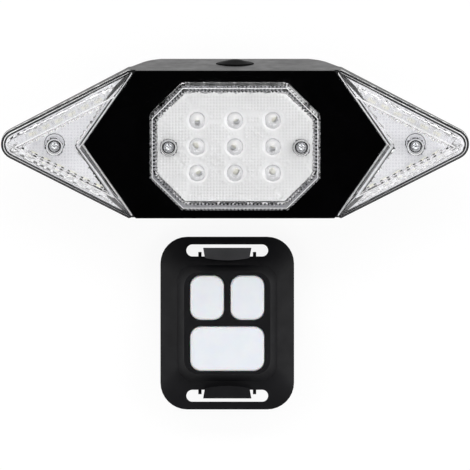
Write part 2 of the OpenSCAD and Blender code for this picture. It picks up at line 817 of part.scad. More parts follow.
module arm_seal_drawing() {
    difference() {
        polygon(arrow_points(arm_seal_edge, arm_seal_notch));
        polygon(arrow_points(arm_seal_edge + arm_seal_w, arm_seal_notch + arm_seal_notch_w));
    }
}

module bezel_seal_drawing() {
    inner = seal_margin;
    outer = seal_margin + seal_w;
    difference() {
        square([2 * (mouth_x + outer), 2 * (mouth_y + outer)], center = true);
        square([2 * (mouth_x + inner), 2 * (mouth_y + inner)], center = true);
    }
}

// Hole for the power button in the upper wall
module button_hole() {
    translate([0, half_h - wall / 2, z_button]) along_y(wall + 2 * over)
        pointed_oval(button_w + 2 * button_gap, button_h + 2 * button_gap);
}

// Recess for the flap, mouth for the socket and hole for the anchor in the lower wall
module socket_cuts() {
    length = flap_l + anchor_l + loose + 2 * flap_gap;
    translate([-x_hinge - flap_gap, -half_h - over, z_socket - flap_h / 2 - flap_gap])
        cube([length, flap_t + over, flap_h + 2 * flap_gap]);
    translate([0, -half_h + wall / 2, z_socket]) along_y(wall + over)
        square([socket_w + 2 * loose, socket_h + 2 * loose], center = true);
    translate([x_hinge + loose + anchor_l / 2, -half_h + wall / 2, z_socket]) along_y(wall + over)
        circle(d = anchor_pin_d + 2 * fit);
}

module rear_housing() {
    color(black) on_lamp() difference() {
        union() {
            difference() {
                intersection() {
                    plate(z_back, z_seat) polygon(lamp_points());
                    along_y(lamp_h) body_plan();
                    along_x(2 * tip_x + over) body_section();
                }
                along_y(2 * mouth_y) cavity_plan();
            }
            housing_bosses();
        }
        housing_pilots();
        for (side = [-1, 1]) on_side(side) arm_cuts();
        plate(z_seat - seal_t, z_seat + over) bezel_seal_drawing();
        button_hole();
        socket_cuts();
    }
}

module front_bezel() {
    color(black_gloss) on_lamp() difference() {
        plate(z_seat, z_face) polygon(bezel_points());
        plate(z_seat - over, z_face + over) polygon(centre_points(ledge_w));
        plate(z_foot - seal_t, z_face + over) polygon(centre_points(-fit));
    }
}

module bezel_seal() {
    color(rubber) on_lamp() plate(z_seat - seal_t, z_seat) bezel_seal_drawing();
}

// Half of an arrowhead, above the lamp's middle line
module half_arrow(edge, notch) {
    intersection() {
        polygon(arrow_points(edge, notch));
        translate([0, half_h / 2]) square([2 * tip_x, half_h], center = true);
    }
}

// A raised arrowhead whose sides lean in, spanned half by half
module arrow_rise(edge0, notch0, z0, edge1, notch1, z1) {
    for (side = [0, 1]) mirror([0, side, 0]) hull() {
        plate(z0, z0 + slice) half_arrow(edge0, notch0);
        plate(z1 - slice, z1) half_arrow(edge1, notch1);
    }
}

// The hollow of a side lens: straight through the flange, then parallel to the outside
module side_hollow() {
    edge = flange_w + side_wall_level;
    notch = notch_step + side_wall;
    rise = side_rise - side_wall;
    plate(z_seat - over, z_face + slice) polygon(arrow_points(edge, notch));
    arrow_rise(edge, notch, z_face, edge + bevel_w * rise / side_rise,
        notch + notch_lean * rise / side_rise, z_face + rise);
}

// Section of a light rib: distance in from the lamp's edge, and height
module light_rib_drawing() {
    rise = side_rise - side_wall / 2;
    run = bevel_w * rise / side_rise;
    back = flange_w + side_wall_level / 2;
    front = flange_w + side_wall_level + prism_d;
    polygon([[back, z_seat], [front, z_seat], [front, z_face], [front + run, z_face + rise],
        [back + run, z_face + rise], [back, z_face]]);
}

// Light ribs square to both outer edges, rooted in the sloping band and ended at the notch,
// with a few places left free by the tip and by the bezel
module light_ribs() {
    edge_l = (apex_x - long_edge / 2) / cos(arm_angle);
    first = 4;
    last = floor(edge_l / prism_pitch) - 3;
    intersection() {
        plate(z_seat, z_face + side_rise)
            polygon(arrow_points(flange_w, notch_step + notch_lean + side_wall / 2));
        for (side = [0, 1], k = [first:last])
            mirror([0, side, 0]) translate([apex_x, 0, 0]) rotate(180 - arm_angle)
                translate([k * prism_pitch, 0, 0]) along_x(prism_w) light_rib_drawing();
    }
}

module side_lens() {
    difference() {
        union() {
            difference() {
                union() {
                    plate(z_seat, z_face - rim_step_h) polygon(arrow_points(0, 0, lens_corner_r));
                    plate(z_seat, z_face)
                        polygon(arrow_points(rim_step_w, notch_step / 2, lens_corner_r));
                    arrow_rise(flange_w, notch_step, z_face - slice, flange_w + bevel_w,
                        notch_step + notch_lean, z_face + side_rise);
                }
                side_hollow();
            }
            translate([side_screw_x, 0, z_seat])
                cylinder(h = bezel_t + side_rise - side_wall / 2, d = side_column_d);
            light_ribs();
        }
        translate([side_screw_x, 0, z_side_head]) cylinder(h = sink_l + over, d = sink_d);
        translate([side_screw_x, 0, z_back]) cylinder(h = lamp_d + side_rise, r = through_r);
    }
}

module left_lens() { color(clear) on_lamp() on_side(-1) side_lens(); }
module right_lens() { color(clear) on_lamp() on_side(1) side_lens(); }

module side_seal() { plate(z_seat - seal_t, z_seat) arm_seal_drawing(); }
module left_lens_seal() { color(white) on_lamp() on_side(-1) side_seal(); }
module right_lens_seal() { color(white) on_lamp() on_side(1) side_seal(); }

// Flat seal between the centre lens and the bezel's ledge
module centre_lens_seal() {
    color(white) on_lamp() plate(z_foot - seal_t, z_foot) difference() {
        polygon(centre_points(fit));
        polygon(toothed_points(centre_points(centre_seal_w)));
    }
}

// Round lenslet under the centre lens's face, which is at z = 0
module lenslet() {
    intersection() {
        translate([0, 0, -lenslet_h]) cylinder(h = lenslet_h + centre_face_t / 2, d = lenslet_d);
        translate([0, 0, lenslet_r - lenslet_h]) sphere(lenslet_r);
    }
}

module centre_lens() {
    z_top = z_face + centre_rise;
    z_column = z_seat + reflector_h;
    color(clear) on_lamp() difference() {
        union() {
            difference() {
                union() {
                    plate(z_foot, z_top - centre_bevel) polygon(centre_points(0));
                    hull() {
                        plate(z_top - centre_bevel - slice, z_top - centre_bevel)
                            polygon(centre_points(0));
                        plate(z_top - slice, z_top) polygon(centre_points(centre_bevel));
                    }
                }
                plate(z_foot - over, z_top - centre_face_t)
                    polygon(ribbed_points(centre_points(centre_wall)));
            }
            at_each(centre_screw_places, z_column)
                cylinder(h = z_top - centre_face_t / 2 - z_column, d = centre_column_d);
            at_each(led_places, z_top - centre_face_t) lenslet();
        }
        at_each(centre_screw_places, z_centre_head) cylinder(h = sink_l + over, d = sink_d);
        at_each(centre_screw_places, z_column - over) cylinder(h = lamp_d, r = through_r);
    }
}

module centre_lens_screws() {
    z = z_centre_head + washer_t;
    length = z - z_led_board + centre_pilot - 2 * fit;
    color(steel) on_lamp() at_each(centre_screw_places, z) screw(length);
}

module side_lens_screws() {
    z = z_side_head + washer_t;
    length = z - z_seat + side_pilot - 2 * fit;
    color(steel) on_lamp() at_each(side_screw_places, z) screw(length);
}

// Rubber washers on the floors of the sunk holes
module washer() {
    linear_extrude(washer_t) difference() {
        circle(d = sink_d - 2 * loose);
        circle(pilot_r);
    }
}

module lens_screw_washers() {
    color(rubber) on_lamp() {
        at_each(centre_screw_places, z_centre_head) washer();
        at_each(side_screw_places, z_side_head) washer();
    }
}

// Flaring cup round one light, cut out of the tray
module light_cup() {
    foot_r = led_collar_d / 2 + loose;
    mouth_r = cup_d / 2;
    rotate_extrude() polygon([[0, -over], [foot_r, -over], [foot_r, led_collar_h],
        [mouth_r, reflector_h], [mouth_r, reflector_h + over], [0, reflector_h + over]]);
}

// White tray under the centre lens, open behind, with a cup for each light
module reflector_plate() {
    inset = centre_wall + rib_d + 2 * fit;
    z_top = z_seat + reflector_h;
    color(white) on_lamp() difference() {
        union() {
            difference() {
                plate(z_seat, z_top) polygon(centre_points(inset));
                plate(z_seat - over, z_top - reflector_wall)
                    polygon(centre_points(inset + reflector_wall));
            }
            at_each(led_places, z_seat)
                cylinder(h = reflector_h - reflector_wall / 2, d = cup_d + 2 * reflector_wall);
            at_each(centre_screw_places, z_seat)
                cylinder(h = reflector_h - reflector_wall / 2, d = boss_d);
        }
        at_each(led_places, z_seat) light_cup();
        at_each(centre_screw_places, z_seat - over)
            cylinder(h = reflector_h + 2 * over, r = through_r);
    }
}

module light_board() {
    color(white) on_lamp() plate(z_led_board, z_seat) difference() {
        square([2 * (mouth_x - loose), 2 * (mouth_y - loose)], center = true);
        for (p = centre_screw_places) translate(p) circle(through_r);
    }
}

module round_lights() {
    color(resin) on_lamp() at_each(led_places, z_seat) {
        cylinder(h = led_collar_h, d = led_collar_d);
        cylinder(h = led_l - led_d / 2, d = led_d);
        translate([0, 0, led_l - led_d / 2]) sphere(d = led_d);
    }
}

module arm_board() {
    plate(z_seat - arm_board_t, z_seat) difference() {
        polygon(arrow_points(arm_board_edge, arm_board_notch));
        translate([side_screw_x, 0]) circle(column_stand_r);
    }
}

module left_arm_board() { color(white) on_lamp() on_side(-1) arm_board(); }
module right_arm_board() { color(white) on_lamp() on_side(1) arm_board(); }

// Two rows of flat lights beside the arm's edges, counted from the tip
module arm_lights() {
    start = [apex_x - (chip_edge + chip_w / 2) / sin(arm_angle), 0];
    for (side = [-1, 1], k = [0:chip_count - 1])
        translate([start.x, 0, z_seat]) mirror([0, side < 0 ? 1 : 0, 0]) rotate(180 - arm_angle)
            translate([chip_first + k * chip_pitch, 0, chip_h / 2])
                cube([chip_l, chip_w, chip_h], center = true);
}

module left_arm_lights() { color(yellow) on_lamp() on_side(-1) arm_lights(); }
module right_arm_lights() { color(yellow) on_lamp() on_side(1) arm_lights(); }

// Flat lead in the channel under the bezel, from the light board to the arm board
module arm_lead() {
    x0 = mouth_x - loose;
    x1 = x_arm_board - lead_w / 2 * notch_w / half_h;
    translate([x0, -lead_w / 2, z_seat - arm_board_t]) cube([x1 - x0, lead_w, lead_t]);
}

module left_lead() { color(foil) on_lamp() on_side(-1) arm_lead(); }
module right_lead() { color(foil) on_lamp() on_side(1) arm_lead(); }

// Row of pins that joins the main board to the light board
module board_link() {
    length = link_pins * link_pitch;
    color(tin) on_lamp() translate([0, link_y, 0]) {
        plate(z_main_top, z_main_top + link_pitch) square([length, link_pitch], center = true);
        for (k = [0:link_pins - 1]) translate([(k - (link_pins - 1) / 2) * link_pitch, 0])
            plate(z_main_top, z_led_board) square(link_pin_w, center = true);
    }
}

module main_board() {
    color(board_green) on_lamp() plate(z_main, z_main_top) difference() {
        translate([-main_board_w / 2, y_main_low])
            square([main_board_w, y_main_high - y_main_low]);
        for (p = centre_screw_places) translate(p) circle(d = boss_d + 2 * loose);
        for (p = back_screw_places) translate(p) circle(through_r);
    }
}

module main_board_screws() {
    color(steel) on_lamp() at_each(back_screw_places, z_main_top)
        screw(main_board_t + board_pilot - 2 * fit);
}

module battery() {
    z = z_floor + foam_t;
    color(foil) on_lamp() translate([0, 0, z + battery_t / 2]) rotate([90, 0, 0])
        linear_extrude(battery_l, center = true) round_rect(battery_w, battery_t, battery_r);
}

module battery_foam() {
    color(foam) on_lamp() plate(z_floor, z_floor + foam_t)
        square([battery_w - 2 * battery_r, battery_l], center = true);
}

module power_switch() {
    bore = plunger_in + button_travel + 2 * loose;
    color(case_black) on_lamp() translate([0, y_switch, z_main_top]) difference() {
        translate([-switch_w / 2, -switch_l, 0]) cube([switch_w, switch_l, 2 * switch_axis]);
        translate([0, over, switch_axis]) rotate([90, 0, 0])
            cylinder(h = bore + over, d = plunger_d + 4 * fit);
    }
}

module switch_plunger() {
    color(gold) on_lamp() translate([0, y_nub, z_button]) rotate([90, 0, 0])
        cylinder(h = y_nub - y_switch + plunger_in, d = plunger_d);
}

// Rubber button: a bell-shaped dome, a rim behind the wall and a nub on the switch
module power_button() {
    foot = half_h + button_proud - button_crown;
    top = foot + button_crown;
    lip = 2 * button_lip;
    bell = [for (k = [0:arc_steps]) let (share = k / arc_steps)
        [share * button_w / 2, foot + button_crown * pow(cos(90 * share), 2)]];
    color(rubber) on_lamp() translate([0, 0, z_button]) {
        intersection() {
            translate([0, (top + y_button_back) / 2, 0]) along_y(top - y_button_back)
                pointed_oval(button_w, button_h);
            rotate([-90, 0, 0]) rotate_extrude() polygon(concat(bell,
                [[button_w, foot], [button_w, y_button_back], [0, y_button_back]]));
        }
        translate([0, y_button_back + button_lip_t / 2, 0]) along_y(button_lip_t)
            pointed_oval(button_w + lip, button_h + lip);
        translate([0, y_button_back, 0]) rotate([90, 0, 0]) cylinder(h = button_nub, d = plunger_d);
    }
}

// Metal shell with a contact blade, its mouth level with the floor of the flap's recess
module charging_socket() {
    mouth = -half_h + flap_t;
    blade_l = socket_l - stub_l - blade_gap;
    inner_w = socket_w - 2 * socket_t;
    inner_h = socket_h - 2 * socket_t;
    color(tin) on_lamp() translate([0, mouth + socket_l / 2, z_socket]) {
        difference() {
            along_y(socket_l) square([socket_w, socket_h], center = true);
            translate([0, -socket_t, 0]) along_y(socket_l) round_bar(inner_w, inner_h);
        }
        translate([0, (socket_l - blade_l) / 2, 0]) along_y(blade_l)
            square([blade_w, blade_t], center = true);
    }
}

// Rubber flap with its stub in the socket and a lip for a fingernail
module socket_flap() {
    stub_w = socket_w - 2 * socket_t - 2 * stub_gap;
    stub_h = socket_h - 2 * socket_t - stub_gap;
    nail_r = 0.6;
    color(rubber) on_lamp() translate([0, -half_h, z_socket]) difference() {
        union() {
            translate([0, flap_t / 2, 0]) along_y(flap_t) square([flap_l, flap_h], center = true);
            translate([0, flap_t + stub_l / 2, 0]) along_y(stub_l)
                round_bar(stub_w, stub_h);
        }
        translate([-flap_l / 2, 0, 0]) cylinder(h = flap_h + over, r = nail_r, center = true);
    }
}

module flap_anchor() {
    x = x_hinge + loose + anchor_l / 2;
    color(rubber) on_lamp() translate([x, -half_h, z_socket]) {
        translate([0, flap_t / 2, 0]) along_y(flap_t) square([anchor_l, flap_h], center = true);
        translate([0, wall / 2, 0]) along_y(wall) circle(d = anchor_pin_d);
        translate([0, wall + anchor_head / 2, 0]) along_y(anchor_head)
            circle(d = anchor_pin_d + 2 * anchor_head);
    }
}

// Hook on the right flank of the cradle, drawn in X and Z
module hook_drawing() {
    x = saddle_w / 2;
    end = x + hook_reach;
    polygon(rounded([[x - over, hook_z], [end, hook_z], [end, hook_z + hook_t + hook_lip],
            [end - hook_t / 2, hook_z + hook_t + hook_lip], [end - hook_t / 2, hook_z + hook_t],
            [x - over, hook_z + hook_t]], [0, hook_t / 2, hook_t / 6, hook_t / 6, hook_t / 3, 0]));
}

// Outline of the mounting plate, with an ear round each screw
module cradle_plate_drawing() {
    round_rect(plate_w, plate_l, plate_r);
    for (p = back_screw_places) translate(p) circle(through_r + ear_w);
}

// Plate screwed to the lamp's back, saddle for the seat post and hooks for its ring
module post_cradle() {
    color(black) on_lamp() difference() {
        union() {
            plate(z_back - plate_t, z_back) cradle_plate_drawing();
            plate(0, z_back - plate_t / 2) square([saddle_w, saddle_l], center = true);
            for (side = [-1, 1]) on_side(side) along_y(hook_l) hook_drawing();
        }
        translate([0, 0, post_z]) rotate([90, 0, 0])
            cylinder(h = plate_l + 2 * over, r = saddle_r, center = true, $fn = fine_fn);
        at_each(back_screw_places, 0) cylinder(h = z_back + over, r = through_r);
    }
}

module cradle_lining() {
    color(rubber) on_lamp() intersection() {
        translate([0, 0, post_z]) rotate([90, 0, 0]) difference() {
            cylinder(h = saddle_l, r = saddle_r - fit, center = true, $fn = fine_fn);
            cylinder(h = saddle_l + over, r = post_r, center = true, $fn = fine_fn);
        }
        plate(lining_edge, z_back) square([saddle_w, saddle_l + over], center = true);
    }
}

module cradle_screws() {
    length = plate_t + wall + back_pilot - 2 * fit;
    color(steel) on_lamp() at_each(back_screw_places, z_back - plate_t) mirror([0, 0, 1])
        screw(length);
}

// Remote: sloping rim, raised block with a flat panel, strap slots with hooks
module remote_shell() {
    panel_w = block_w - 2 * block_slope;
    panel_l = block_l - 2 * block_slope;
    panel_r = block_r - block_slope / 2;
    hull() {
        plate(z_base_top, z_rim) round_rect(remote_w, remote_l, remote_r, $fn = coarse_fn);
        plate(z_shoulder - slice, z_shoulder) round_rect(block_w, block_l, block_r, $fn = coarse_fn);
    }
    sloped(block_w, block_l, block_r, z_shoulder - slice, panel_w, panel_l, panel_r, z_panel);
}

// Crowned hook with a rounded tip, tapered to its bowed root, with a small lug on each side
module strap_hook() {
    edge = slot_y - slot_h / 2;
    root = edge - tongue_root;
    top = z_tongue + tongue_t + tongue_crown;
    tip_half = tongue_w / 2;
    root_half = tip_half - tongue_taper;
    lug_x = tip_half + lug_gap + lug_w / 2;
    bowed = [for (k = [0:arc_steps]) let (share = 2 * k / arc_steps - 1)
        [share * root_half, root + tongue_bow * share * share]];
    intersection() {
        along_x(tongue_w) polygon(rounded([[root, z_tongue], [tongue_tip, z_tongue],
            [tongue_tip, top], [root, top]], [0, tongue_r, tongue_r, 0]));
        translate([0, slot_y, top - tongue_crown_r]) rotate([90, 0, 0])
            cylinder(h = remote_l, r = tongue_crown_r, center = true, $fn = fine_fn);
        plate(0, z_panel)
            polygon(concat(bowed, [[tip_half, tongue_tip], [-tip_half, tongue_tip]]));
    }
    for (i = [-1, 1]) translate([i * lug_x, edge + (lug_reach - over) / 2, z_base_top + rim_t / 2])
        cube([lug_w, over + lug_reach, rim_t], center = true);
}

module remote_cover() {
    color(black) on_remote() {
        difference() {
            remote_shell();
            sloped(mouth_w, mouth_l, mouth_r, z_base_top - over, inner_w, inner_l, inner_r, z_lip_top);
            for (p = key_places) translate(p) plate(z_lip, z_panel + over)
                round_rect((p.x == 0 ? field_w : small_w) + 2 * key_gap, key_l + 2 * key_gap,
                    key_r + key_gap);
            for (j = [-1, 1]) translate([0, j * slot_y]) plate(0, z_panel) round_bar(slot_l, slot_h);
            at_each(base_screw_places, z_base_top - over)
                cylinder(h = base_pilot + over, r = pilot_r);
        }
        for (j = [0, 1]) mirror([0, j, 0]) strap_hook();
    }
}

// Seal round the mouth of the cover
module seal_ring() {
    inner = seal_margin;
    outer = seal_margin + base_seal_w;
    difference() {
        round_rect(mouth_w + 2 * outer, mouth_l + 2 * outer, mouth_r + outer);
        round_rect(mouth_w + 2 * inner, mouth_l + 2 * inner, mouth_r + inner);
    }
}

module remote_base() {
    x = mouth_w / 2 - base_post_inset;
    y = mouth_l / 2 - base_post_inset;
    color(black) on_remote() difference() {
        union() {
            plate(pad_h, z_base_top) round_rect(base_w, base_l, block_r);
            at_each([for (i = [-1, 1], j = [-1, 1]) [i * x, j * y]], z_base_top - seal_t)
                cylinder(h = cell_t + seal_t, r = base_post_r);
        }
        plate(z_base_top - seal_t, z_base_top + over) seal_ring();
        at_each(base_screw_places, pad_h - over) cylinder(h = base_t + 2 * over, r = through_r);
        at_each(base_screw_places, pad_h - over)
            cylinder(h = head_h / 2 + over, d = head_d + 2 * loose);
    }
}

module remote_seal() {
    color(rubber) on_remote() plate(z_base_top - seal_t, z_base_top) seal_ring();
}

module remote_screws() {
    sunk = head_h / 2;
    color(steel) on_remote() at_each(base_screw_places, pad_h + sunk) mirror([0, 0, 1])
        screw(base_t - sunk + base_pilot - 2 * fit);
}

module remote_board() {
    // Board outline where the cover's inside is narrowest beside it
    share = (z_board_top - z_base_top) / (z_lip_top - z_base_top);
    w = mouth_w + (inner_w - mouth_w) * share - 4 * loose;
    l = mouth_l + (inner_l - mouth_l) * share - 4 * loose;
    color(board_green) on_remote() plate(z_board, z_board_top) round_rect(w, l, mouth_r);
}

module key_switches() {
    color(case_black) on_remote() at_each(key_places, z_board_top) difference() {
        plate(0, key_switch_h) square(key_switch_w, center = true);
        translate([0, 0, key_switch_floor]) cylinder(h = key_bore + over, d = plunger_d + 4 * fit);
    }
}

module coin_cell() {
    step = 0.4;
    color(steel) on_remote() {
        plate(z_base_top, z_board - step) circle(d = cell_d);
        plate(z_base_top, z_board) circle(d = cell_d - 4 * step);
    }
}

module cell_clip() {
    color(tin) on_remote() plate(z_base_top + loose, z_board) difference() {
        circle(d = cell_d + 2 * (clip_t + loose));
        circle(d = cell_d + 2 * loose);
        translate([-clip_mouth / 2, 0]) square([clip_mouth, cell_d]);
    }
}

// A soft key: crown with eased edges, rim under the panel and nub over its switch
module key(place, w) {
    top = z_panel + key_proud;
    foot = top - key_hip - key_edge;
    hip = key_edge + key_hip_run;
    color(white) on_remote() translate(place) {
        plate(z_lip, z_lip_top) round_rect(w + 2 * key_lip, key_l + 2 * key_lip, key_r + key_lip);
        plate(z_lip, foot + slice) round_rect(w, key_l, key_r);
        hull() {
            plate(foot, foot + slice) round_rect(w, key_l, key_r, $fn = coarse_fn);
            plate(top - key_hip, top - key_hip + slice) round_rect(w - 2 * key_edge,
                key_l - 2 * key_edge, key_r - key_edge, $fn = coarse_fn);
        }
        sloped(w - 2 * key_edge, key_l - 2 * key_edge, key_r - key_edge, top - key_hip,
            w - 2 * hip, key_l - 2 * hip, max(key_r - hip, least_r), top);
        plate(z_nub, z_lip + slice) circle(d = plunger_d);
    }
}

module left_key() { key(key_places[0], small_w); }
module right_key() { key(key_places[1], small_w); }
module wide_key() { key(key_places[2], field_w); }

module key_plunger(place) {
    in = key_bore - key_travel - loose;
    color(gold) on_remote() translate(place) plate(z_key_switch - in, z_nub)
        circle(d = plunger_d);
}

module left_plunger() { key_plunger(key_places[0]); }
module right_plunger() { key_plunger(key_places[1]); }
module wide_plunger() { key_plunger(key_places[2]); }

// Wedge-shaped rubber pad with a shallow saddle for the handlebar
module handlebar_pad() {
    color(rubber) translate([remote_shift, remote_y, 0]) difference() {
        plate(0, pad_h + pad_w) round_rect(pad_l, pad_w, pad_r);
        on_slope() translate([-pad_l, -pad_w, 0]) cube([2 * pad_l, 2 * pad_w, 2 * pad_w]);
        translate([0, 0, bar_z]) rotate([0, 90, 0])
            cylinder(h = pad_l + 2 * over, r = bar_r, center = true, $fn = fine_fn);
    }
}

rear_housing();
front_bezel();
bezel_seal();
left_lens();
right_lens();
left_lens_seal();
right_lens_seal();
centre_lens();
centre_lens_seal();
centre_lens_screws();
side_lens_screws();
lens_screw_washers();
reflector_plate();
light_board();
round_lights();
left_arm_board();
right_arm_board();
left_arm_lights();
right_arm_lights();
left_lead();
right_lead();
board_link();
main_board();
main_board_screws();
battery();
battery_foam();
power_switch();
switch_plunger();
power_button();
charging_socket();
socket_flap();
flap_anchor();
post_cradle();
cradle_lining();
cradle_screws();
remote_cover();
remote_base();
remote_seal();
remote_screws();
remote_board();
key_switches();
coin_cell();
cell_clip();
left_key();
right_key();
wide_key();
left_plunger();
right_plunger();
wide_plunger();
handlebar_pad();
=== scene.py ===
import json
import math

import bmesh
import bpy
from mathutils import Matrix, Vector


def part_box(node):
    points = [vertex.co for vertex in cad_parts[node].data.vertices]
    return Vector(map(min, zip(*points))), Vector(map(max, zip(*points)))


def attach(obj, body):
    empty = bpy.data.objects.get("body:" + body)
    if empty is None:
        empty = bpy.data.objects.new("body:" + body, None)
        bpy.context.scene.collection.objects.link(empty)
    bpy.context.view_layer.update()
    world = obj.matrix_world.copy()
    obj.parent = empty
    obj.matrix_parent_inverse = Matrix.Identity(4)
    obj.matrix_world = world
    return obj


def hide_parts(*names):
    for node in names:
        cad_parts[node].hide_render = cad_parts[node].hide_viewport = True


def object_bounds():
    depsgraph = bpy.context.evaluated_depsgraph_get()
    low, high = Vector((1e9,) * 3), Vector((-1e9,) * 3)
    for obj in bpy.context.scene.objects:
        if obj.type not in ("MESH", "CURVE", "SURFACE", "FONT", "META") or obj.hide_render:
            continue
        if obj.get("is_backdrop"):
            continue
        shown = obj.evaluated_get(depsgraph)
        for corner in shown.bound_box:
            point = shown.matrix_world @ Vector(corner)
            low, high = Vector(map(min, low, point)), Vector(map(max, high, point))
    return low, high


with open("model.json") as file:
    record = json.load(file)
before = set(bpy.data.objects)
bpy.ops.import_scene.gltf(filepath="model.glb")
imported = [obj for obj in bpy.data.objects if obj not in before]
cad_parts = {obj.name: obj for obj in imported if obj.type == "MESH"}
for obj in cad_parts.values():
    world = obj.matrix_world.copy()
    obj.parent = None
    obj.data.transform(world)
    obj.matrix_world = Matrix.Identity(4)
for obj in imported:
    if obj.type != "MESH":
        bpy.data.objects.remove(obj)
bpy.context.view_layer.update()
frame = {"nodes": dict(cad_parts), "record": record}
nodes = frame["nodes"]

# Rear housing: the deep black tub with its two tapering arms, moulded in satin plastic.
# It carries the rest of the lamp. Its long edges are eased, a fine spark grain covers it, and
# the bosses under the side lenses' screws are painted white, so that they don't show as dark spots.
MM = 0.001


def node(tree, kind, inputs=None, **settings):
    """Adds a node to a tree. An input that is a socket is linked, and any other value is set."""
    made = tree.nodes.new(kind)
    for key, value in settings.items():
        setattr(made, key, value)
    for key, value in (inputs or {}).items():
        if isinstance(value, bpy.types.NodeSocket):
            tree.links.new(value, made.inputs[key])
        else:
            made.inputs[key].default_value = value
    return made


def finish(name, sockets):
    """A material with one Principled shader, its even values set on the shader's own sockets."""
    material = bpy.data.materials.new(name)
    material.use_nodes = True
    shader = material.node_tree.nodes["Principled BSDF"]
    for socket, value in sockets.items():
        shader.inputs[socket].default_value = value
    return material, material.node_tree, shader


def noise(tree, size, detail=2.0, roughness=0.5):
    """Noise over the piece's own coordinates, with lumps of about that size in millimetres."""
    place = node(tree, "ShaderNodeTexCoord").outputs["Object"]
    values = {"Vector": place, "Scale": 1 / (size * MM), "Detail": detail, "Roughness": roughness}
    return node(tree, "ShaderNodeTexNoise", values).outputs["Fac"]


def spread(tree, value, low, high, start=0.3, end=0.7):
    """Maps a value from start and end to low and high."""
    values = {"Value": value, "From Min": start, "From Max": end, "To Min": low, "To Max": high}
    return node(tree, "ShaderNodeMapRange", values).outputs["Result"]


def relief(tree, shader, height, depth):
    """Bump of that depth in millimetres on a shader's normal."""
    bump = node(tree, "ShaderNodeBump", {"Height": height, "Distance": depth * MM})
    tree.links.new(bump.outputs["Normal"], shader.inputs["Normal"])


def patchy_gloss(tree, shader, rough, size, detail=4):
    """Roughness that drifts between two values, in patches of about that size in millimetres."""
    gloss = spread(tree, noise(tree, size, detail), rough[0], rough[1])
    tree.links.new(gloss, shader.inputs["Roughness"])


def blend_colours(tree, share, colour, other):
    """A colour between two, by a share from 0 to 1."""
    colour_in, other_in, colour_out = 6, 7, 2
    mix = node(tree, "ShaderNodeMix", {"Factor": share, colour_in: colour, other_in: other},
               data_type="RGBA")
    return mix.outputs[colour_out]


def blotch(tree, shader, colour, other, size):
    """Colour that drifts between two tones in soft patches of about that size in millimetres."""
    share = spread(tree, noise(tree, size, detail=3), 0, 1, start=0.35, end=0.65)
    tree.links.new(blend_colours(tree, share, colour, other), shader.inputs["Base Color"])


def moulded(name, colour, other, rough, grain, depth, specular=0.5):
    """Moulded plastic or rubber: spark grain, patchy gloss and a slight drift of colour."""
    material, tree, shader = finish(name, {"Specular IOR Level": specular})
    blotch(tree, shader, colour, other, size=9)
    patchy_gloss(tree, shader, rough, size=4)
    relief(tree, shader, noise(tree, grain, detail=3, roughness=0.6), depth)
    return material


def merged(name, flatten=True):
    """The surface of a CAD piece with its loose triangles joined and its flat faces made whole."""
    weld, flat_angle = 0.002 * MM, math.radians(1)
    shape = bmesh.new()
    shape.from_mesh(nodes[name].data)
    bmesh.ops.remove_doubles(shape, verts=shape.verts, dist=weld)
    if flatten:
        bmesh.ops.dissolve_limit(shape, angle_limit=flat_angle, verts=shape.verts, edges=shape.edges)
    return shape


def made_piece(name, shape, material):
    """A smooth-shaded object made from a surface, which is freed."""
    mesh = bpy.data.meshes.new(name)
    shape.to_mesh(mesh)
    shape.free()
    mesh.materials.append(material)
    mesh.shade_smooth()
    piece = bpy.data.objects.new(name, mesh)
    bpy.context.scene.collection.objects.link(piece)
    return piece


def bake_down(piece):
    """Turns a piece with modifiers into a plain mesh."""
    graph = bpy.context.evaluated_depsgraph_get()
    made = bpy.data.meshes.new_from_object(piece.evaluated_get(graph))
    piece.modifiers.clear()
    piece.data = made
    return piece


def weigh_normals(piece):
    """Shades wide faces flat and the narrow faces between them round."""
    weigh = piece.modifiers.new("weigh", "WEIGHTED_NORMAL")
    weigh.weight = 90
    weigh.keep_sharp = True


def stands_for(piece, name, body):
    """Lets a piece move with a body in place of a CAD piece."""
    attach(piece, body)
    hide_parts(name)


def eased(name, body, material, width, angle=30, segments=2):
    """A copy of a CAD piece with its sharp edges eased, which stands for it."""
    piece = made_piece(name + "_eased", merged(name), material)
    bevel = piece.modifiers.new("ease", "BEVEL")
    bevel.width = width * MM
    bevel.segments = segments
    bevel.limit_method = "ANGLE"
    bevel.angle_limit = math.radians(angle)
    weigh_normals(piece)
    stands_for(bake_down(piece), name, body)
    return piece


head_r = 1.7


def screw_place(screws):
    """How far a pair's screws stand to each side of the lamp's middle, and their place along Y."""
    low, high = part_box(screws)
    return high.x - head_r * MM, (low.y + high.y) / 2


housing_black, housing_worn = (0.010, 0.010, 0.011, 1), (0.015, 0.015, 0.016, 1)
housing_plastic = moulded("housing_plastic", housing_black, housing_worn,
                          rough=(0.36, 0.48), grain=0.35, depth=0.012)
paint_white, paint_bright = (0.7, 0.7, 0.73, 1), (0.76, 0.76, 0.79, 1)
boss_paint = moulded("boss_paint", paint_white, paint_bright, rough=(0.5, 0.65), grain=0.4, depth=0.01)
housing = eased("rear_housing", "lamp", housing_plastic, width=0.35)
housing.data.materials.append(boss_paint)
seat_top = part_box("rear_housing")[1].z
boss_r, upward = 3.4, 0.9
boss_x, boss_y = screw_place("side_lens_screws")
for face in housing.data.polygons:
    boss = Vector((math.copysign(boss_x, face.center.x), boss_y, seat_top))
    if (face.center - boss).length < boss_r * MM and face.normal.z > upward:
        face.material_index = 1

